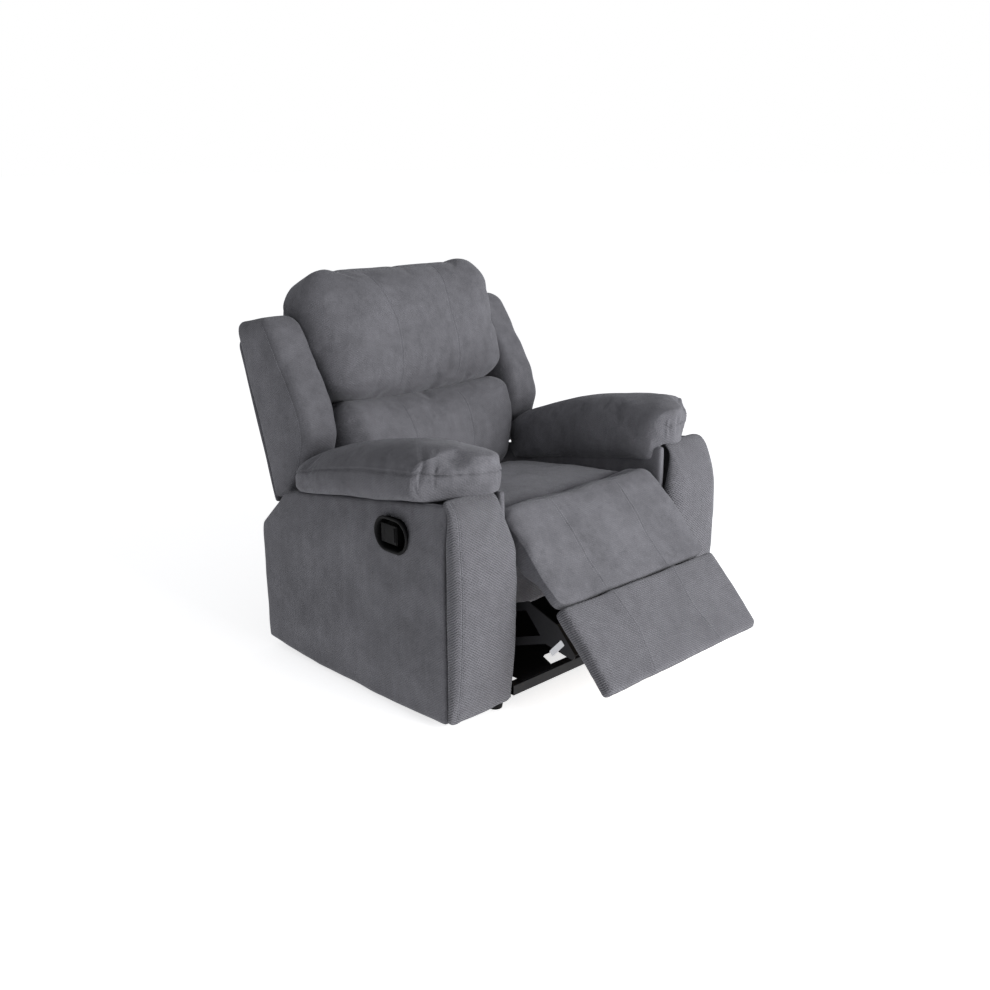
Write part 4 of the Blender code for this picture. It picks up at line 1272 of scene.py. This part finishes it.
@dataclass
class SeatAndFootrest:
    """The seat cushion, the pad that bridges to the footrest, the footrest's own pad, and the apron."""

    seat_half: float = 0.2755
    bridge_half: float = 0.277
    foot_half: float = 0.286
    foot_middle: float = 0.003
    seam_offset: float = 0.114
    softs: list[SoftPiece] = field(default_factory=list)

    def make_softs(self) -> list[SoftPiece]:
        """Cuts the three soft pieces."""
        tops = [(0.128, 0.472), (0.160, 0.471), (0.220, 0.465), (0.300, 0.458), (0.420, 0.444),
                (0.520, 0.430), (0.590, 0.414)]
        rows = [(y, LAYOUT.deck(y) + 0.0005, y, top, self.seat_half) for y, top in tops]
        seat = SoftPiece("seat_cushion_cover", rows,
                         rounding=Rounding(0.030, 0.030, 0.018, 0.030, 0.004, 0.030),
                         swell=0.010, rumple=0.0022, seed=5, pinned=(Face.OUTER, Face.INNER))
        over = [(0.1262, 0.478), (0.108, 0.491), (0.080, 0.501), (0.048, 0.503), (0.012, 0.482),
                (-0.040, 0.437), LAYOUT.board(0.05, -0.040), LAYOUT.board(0.1395, -0.040)]
        under = [(0.1262, LAYOUT.deck(0.1262) + 0.0005), (0.090, LAYOUT.deck(0.09) + 0.0005),
                 (0.060, LAYOUT.deck(0.06) + 0.0005), (0.035, 0.386), (0.012, 0.373), (-0.016, 0.345),
                 LAYOUT.board(0.070, -0.080), LAYOUT.board(0.1395, -0.0753)]
        rows = [(*u, *o, self.bridge_half) for u, o in zip(under, over)]
        half = block_half(rows)
        seams = [Seam(Face.OVER, [(-half[1] * 0.45, side * (self.seam_offset + 0.006)),
                                  (half[1], side * self.seam_offset)],
                      depth=0.0007, width=0.004, dip=0.0022, rows=TWIN_ROWS, gather=0.0006)
                 for side in (-1, 1)]
        seams += [Seam(face, [(-half[1], half[2] - 0.034), (half[1], half[2] - 0.022)], depth=0.0015, dip=0.0)
                  for face in (Face.OUTER, Face.INNER)]
        bridge = SoftPiece("chaise_bridge_pad", rows,
                           rounding=Rounding(0.034, 0.034, 0.016, 0.018, 0.008, 0.034),
                           swell=0.017, seams=seams, rumple=0.0030, seed=6, ease=0.05, shaping=self.tuck)
        rows = [(*LAYOUT.board(u, -0.0753), *LAYOUT.board(u, n), self.foot_half)
                for u, n in ((0.1400, -0.036), (0.20, -0.033), (0.26, -0.033), (0.32, -0.035),
                             (0.364, -0.039))]
        half = block_half(rows)
        seams = [Seam(Face.OVER, [(-half[1], side * (self.seam_offset + 0.002)),
                                  (0.0, side * (self.seam_offset - 0.01)),
                                  (half[1], side * (self.seam_offset + 0.014))],
                      depth=0.0008, width=0.004, dip=0.0022, rows=TWIN_ROWS, gather=0.0006)
                 for side in (-1, 1)]
        welt = half[2] - 0.017
        seams += [Seam(Face.END, [(-0.28, welt), (0.28, welt)], depth=0.0022, width=0.0035, dip=0.0,
                       gather=0.0008, welt=0.0014)]
        seams += [Seam(face, [(-half[1], welt), (half[1], welt)], depth=0.0022, width=0.0035, dip=0.0,
                       welt=0.001)
                  for face in (Face.OUTER, Face.INNER)]
        foot = SoftPiece("footrest_cushion", rows, middle=self.foot_middle, cell=0.0085,
                         rounding=Rounding(0.014, 0.014, 0.012, 0.014, 0.003, 0.017),
                         swell=0.007, seams=seams, rumple=0.0015, seed=8)
        self.softs = [seat, bridge, foot]
        for soft in self.softs:
            soft.make()
        return self.softs

    def tuck(self, points: np.ndarray, plan: np.ndarray) -> np.ndarray:
        """Creases the bridging pad's hump where it turns down to the seat, deepest near its two sides."""
        y, z = points[:, 1] - LAYOUT.front, points[:, 2]
        x = points[:, 0]
        folds = [(0.094, 0.190, 0.055, 0.016), (0.098, -0.215, 0.060, 0.018), (0.104, -0.02, 0.09, 0.006),
                 (0.060, -0.262, 0.030, 0.007)]
        for fold_y, fold_x, length, depth in folds:
            lean = (y - fold_y) + 0.18 * (np.abs(x) - abs(fold_x))
            pull = np.exp(-(lean / 0.014) ** 2 - ((x - fold_x) / length) ** 2) * depth
            points[:, 2] -= pull * soft_step(z, 0.42, 0.46)
        return points

    def dress(self, wardrobe: Wardrobe) -> None:
        """Dresses the three pieces; the bridging pad and its stitching stay unattached, their placement baked
        into their meshes.
        """
        seat, bridge, foot = self.softs
        own_stitching(foot, wardrobe, "footrest")
        seat.complete(wardrobe.nap, ["seat_cushion"], "seat", 0.85)
        foot.complete(wardrobe.ribbed, ["footrest_pad"], "footrest", 0.9)
        stitching = own_stitching(bridge, wardrobe, None)
        pad = bridge.complete(wardrobe.nap, ["chaise_pad"], None, 0.85)
        start, end = LAYOUT.at(0, (0.060, 0.500)), LAYOUT.at(0, LAYOUT.board(0.118, -0.04))
        for made in (pad, stitching):
            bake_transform(made)
        self.make_apron(wardrobe)

    def make_apron(self, wardrobe: Wardrobe) -> None:
        """Hangs a short apron of cloth from the front of the seat box."""
        width, top, low = 0.524, 0.380, 0.252
        bm = bmesh.new()
        bmesh.ops.create_grid(bm, x_segments=58, y_segments=16, size=0.5)
        bmesh.ops.scale(bm, vec=(width, top - low, 1.0), verts=bm.verts)
        noise = Crumple(9)
        for v in bm.verts:
            x, drop = v.co.x, 0.5 - v.co.y / (top - low)
            wave = 0.004 * drop * noise.at(np.array([[x, 0.3, drop * 0.05]]), 0.045)[0]
            hem = 0.012 * drop * noise.at(np.array([[x, 2.3, 0.0]]), 0.13)[0]
            v.co = (x, LAYOUT.front + 0.0285 + wave, top - (top - low) * drop + hem * 0.5)
        apron = as_object(bm, "seat_apron", wardrobe.nap)
        thick = apron.modifiers.new("cloth thickness", "SOLIDIFY")
        thick.thickness, thick.offset = 0.0022, 0.0
        mark_weave(apron)
        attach(apron, "seat")
        LOG.info("seat apron: %d faces", len(apron.data.polygons))


@dataclass
class DustCoversAndPaintedShade:
    """Black cloth that closes the chair's inside from below, behind and beside: partly real dust covers,
    partly dark sheets that paint the shade inside the chair.
    """

    thickness: float = 0.0012

    def hang(self, name: str, centre: Vector, size: Pair, turn: Matrix,
             wardrobe: Wardrobe, seed: int, notch: float = 0.0) -> None:
        """Makes one flat sheet with a slight wave.

        Args:
            name: Its name.
            centre: Its middle.
            size: Width and length of the cloth.
            turn: Rotation from lying flat.
            wardrobe: The finishes.
            seed: Where its waves start.
            notch: How far the middle of its front edge is cut back.
        """
        bm = bmesh.new()
        bmesh.ops.create_grid(bm, x_segments=40, y_segments=20, size=0.5)
        bmesh.ops.scale(bm, vec=(*size, 1.0), verts=bm.verts)
        for v in bm.verts:
            cut = notch * float(soft_step(np.array(abs(v.co.x)), 0.142, 0.106))
            v.co.y += cut * (0.5 - v.co.y / size[1])
        noise = Crumple(seed)
        waves = noise.at(np.array([v.co for v in bm.verts]), 0.09) * 0.0014
        for v, wave in zip(bm.verts, waves):
            v.co.z += wave
        bmesh.ops.transform(bm, matrix=Matrix.Translation(centre) @ turn, verts=bm.verts)
        made = as_object(bm, name, wardrobe.dust_cloth)
        thick = made.modifiers.new("cloth thickness", "SOLIDIFY")
        thick.thickness, thick.offset = self.thickness, 0.0
        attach(made, "base")

    def build(self, wardrobe: Wardrobe) -> None:
        """Hangs the cover under the seat, the one behind it and the two beside it."""
        flat, upright = Matrix.Identity(4), Matrix.Rotation(math.pi / 2, 4, "X")
        aside = Matrix.Rotation(math.pi / 2, 4, "Y")
        # dark sheets: real dust cloth and painted shade of the chair's inside
        self.hang("dust_cover_and_painted_shade_under", LAYOUT.at(0, (0.324, 0.0625)), (0.500, 0.636), flat,
                  wardrobe, 81, 0.068)
        self.hang("dust_cover_and_painted_shade_rear", LAYOUT.at(0, (0.700, 0.150)), (0.524, 0.200), upright,
                  wardrobe, 82)
        for word, side in SIDES.items():
            self.hang(f"dust_cover_and_painted_shade_{word}", LAYOUT.at(side * 0.2885, (0.378, 0.162)), (0.150, 0.690), aside,
                      wardrobe, 83 + side)
        LOG.info("dust covers: 4 sheets")


def mark_weave(piece: bpy.types.Object) -> None:
    """Writes the attributes that the cloth's pattern and its painted seam shade follow on a piece that isn't
    a SoftPiece.
    """
    mesh = piece.data
    for name, source in (("weave_place", "co"), ("weave_facing", "normal")):
        values = np.empty(len(mesh.vertices) * 3, np.float32)
        mesh.vertices.foreach_get(source, values)
        mesh.attributes.new(name, "FLOAT_VECTOR", "POINT").data.foreach_set("vector", values)
    # painted shade of seam creases: left at zero, so nothing here is darkened
    mesh.attributes.new("seam_shade", "FLOAT", "POINT")


# ---------------------------------------------------------------- steelwork


@dataclass
class Steelwork:
    """Dressing of the frame's own hard pieces, with rivet heads and a blank label added."""

    rivet_radius: float = 0.0075
    pin_tip: float = 0.2645

    def rivets(self, name: str, body: str, places: Sequence[tuple[float, Pair]], wardrobe: Wardrobe,
               inward: bool = True) -> None:
        """Sets domed rivet heads on a body.

        Args:
            name: Name of the set.
            body: The body that carries it.
            places: (distance from the middle, side-on point) of each head; both sides get one.
            wardrobe: The finishes.
            inward: True for heads that face the chair's middle.
        """
        bm = bmesh.new()
        for side in (-1, 1):
            for x, point in places:
                made = bmesh.ops.create_uvsphere(bm, u_segments=14, v_segments=8,
                                                 radius=self.rivet_radius)["verts"]
                cut = bmesh.ops.bisect_plane(bm, geom=made + list({e for v in made for e in v.link_edges})
                                             + list({f for v in made for f in v.link_faces}),
                                             plane_co=(0, 0, 0), plane_no=(0, 0, -1), clear_outer=True)
                kept = list({v for v in cut["geom"] + cut["geom_cut"] if isinstance(v, bmesh.types.BMVert)})
                rim = {e for v in kept for e in v.link_edges if e.is_boundary}
                bmesh.ops.edgeloop_fill(bm, edges=list(rim))
                bmesh.ops.scale(bm, vec=(1, 1, 0.36), verts=kept)
                face = -side if inward else side
                turn = Matrix.Rotation(math.pi / 2 * face, 4, "Y")
                bmesh.ops.transform(bm, matrix=Matrix.Translation(LAYOUT.at(side * x, point)) @ turn,
                                    verts=kept)
        heads = as_object(bm, name, wardrobe.paint, 50)
        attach(heads, body)

    def add_label(self, wardrobe: Wardrobe) -> None:
        """Sticks a blank label on the outer face of the right footrest bracket."""
        bm = bmesh.new()
        bmesh.ops.create_cube(bm, size=1.0)
        bmesh.ops.scale(bm, vec=(0.0003, 0.055, 0.015), verts=bm.verts)
        uprights = [e for e in bm.edges if abs(e.verts[0].co.x - e.verts[1].co.x) > 1e-5]
        bmesh.ops.bevel(bm, geom=uprights, offset=0.003, segments=3, profile=0.5, affect="EDGES", material=-1)
        place = LAYOUT.at(-0.27215, (-0.128, 0.199))
        bmesh.ops.transform(bm, matrix=Matrix.Translation(place) @ Matrix.Rotation(math.radians(-47), 4, "X"),
                            verts=bm.verts)
        label = as_object(bm, "blank_bracket_label", wardrobe.label, 30)
        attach(label, "footrest")

    def build(self, wardrobe: Wardrobe) -> None:
        """Dresses every shown CAD node and adds the rivets and label."""
        finishes = wardrobe.by_slot()
        for name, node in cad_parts.items():
            for slot in node.material_slots:
                stem = slot.material.name.split(".")[0]
                slot.material = finishes.get(stem, wardrobe.paint)
        pins = [LAYOUT.board(u, -0.149) for u in (0.081, 0.173)]
        self.rivets("footrest_bracket_rivets", "footrest", [(self.pin_tip, p) for p in pins], wardrobe)
        turn = LAYOUT.turn
        for y, body in ((0.130, "crank_front"), (0.360, "crank_rear")):
            pivot = (y, turn[1] - 0.361 * (y - turn[0]))
            tips = [(pivot[0] + p[0] - turn[0], pivot[1] + p[1] - turn[1]) for p in pins]
            self.rivets(f"{body}_rivets", body, [(self.pin_tip, p) for p in tips], wardrobe)
        self.add_label(wardrobe)
        LOG.info("steelwork: %d CAD nodes dressed", len(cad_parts))


# ---------------------------------------------------------------- studio


@dataclass
class Studio:
    """A plain pale floor, soft light mostly from the front, and the camera."""

    target: Colour = (-0.031, -0.0732, 0.419)
    towards_camera: Colour = (-0.6729, -0.6794, 0.2927)
    distance: float = 3.012
    lens: float = 41.74
    ambient: float = 0.41

    def add_camera(self) -> None:
        """Places the camera."""
        data = bpy.data.cameras.new("camera")
        data.lens, data.sensor_width = self.lens, 36.0
        data.shift_x, data.shift_y = -0.0211, 0.0072
        camera = bpy.data.objects.new("camera", data)
        back = Vector(self.towards_camera).normalized()
        camera.location = Vector(self.target) + back * self.distance
        camera.rotation_mode = "QUATERNION"
        camera.rotation_quaternion = (-back).to_track_quat("-Z", "Y")
        bpy.context.scene.collection.objects.link(camera)
        bpy.context.scene.camera = camera

    def add_light(self, name: str, place: Colour, size: Pair, power: float) -> None:
        """Adds a soft area light that looks at the chair."""
        data = bpy.data.lights.new(name, "AREA")
        data.shape, data.size, data.size_y, data.energy = "RECTANGLE", *size, power
        light = bpy.data.objects.new(name, data)
        light.location = place
        light.rotation_mode = "QUATERNION"
        light.rotation_quaternion = (Vector((0, 0, 0.45)) - Vector(place)).to_track_quat("-Z", "Y")
        bpy.context.scene.collection.objects.link(light)

    def add_floor(self) -> None:
        """Lays the floor, pale and softly glowing like a lit sweep."""
        bm = bmesh.new()
        bmesh.ops.create_grid(bm, x_segments=4, y_segments=4, size=60.0)
        tree = ShaderTree("pale_floor")
        place = tree.place()
        tone = tree.noise(place, 3.0, 2.0, 0.5)
        tree.principled(Base_Color=tree.shade((0.84, 0.84, 0.85), 0.98 + tone * 0.03), Roughness=0.9,
                        Emission_Color=(1.0, 1.0, 1.0), Emission_Strength=0.68, Specular_IOR_Level=0.1)
        floor = as_object(bm, "studio_floor", tree.material)
        floor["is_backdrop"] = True

    def build(self) -> None:
        """Builds the studio."""
        scene = bpy.context.scene
        scene.view_settings.view_transform = "Standard"
        world = bpy.data.worlds.new("studio")
        world.use_nodes = True
        nodes = world.node_tree.nodes
        seen, lit = nodes["Background"], nodes.new("ShaderNodeBackground")
        seen.inputs[0].default_value = (1.0, 1.0, 1.0, 1.0)
        lit.inputs[0].default_value = (0.97, 0.98, 1.0, 1.0)
        lit.inputs[1].default_value = self.ambient
        ray, either = nodes.new("ShaderNodeLightPath"), nodes.new("ShaderNodeMixShader")
        join = world.node_tree.links.new
        join(ray.outputs["Is Camera Ray"], either.inputs[0])
        join(lit.outputs[0], either.inputs[1])
        join(seen.outputs[0], either.inputs[2])
        join(either.outputs[0], nodes["World Output"].inputs["Surface"])
        scene.world = world
        self.add_camera()
        self.add_light("front_softbox", (0.5, -3.5, 1.35), (2.2, 1.6), 158.0)
        self.add_floor()


def main() -> None:
    """Builds the studio and every piece, in order."""
    logging.basicConfig(level=logging.INFO, format="%(message)s")
    Studio().build()
    wardrobe = Wardrobe()
    arms = [Arm(side) for side in (-1, 1)]
    back, seat = Back(), SeatAndFootrest()
    cushions = [soft for owner in (*arms, back, seat) for soft in owner.make_softs()]
    fill_together(cushions)
    for owner in (*arms, back, seat):
        owner.dress(wardrobe)
    DustCoversAndPaintedShade().build(wardrobe)
    LATCH.build(wardrobe)
    Steelwork().build(wardrobe)
    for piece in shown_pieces():
        if piece.type == "MESH" and "plan" in piece.data.attributes:
            piece.data.attributes.remove(piece.data.attributes["plan"])


if __name__ == "__main__":
    main()
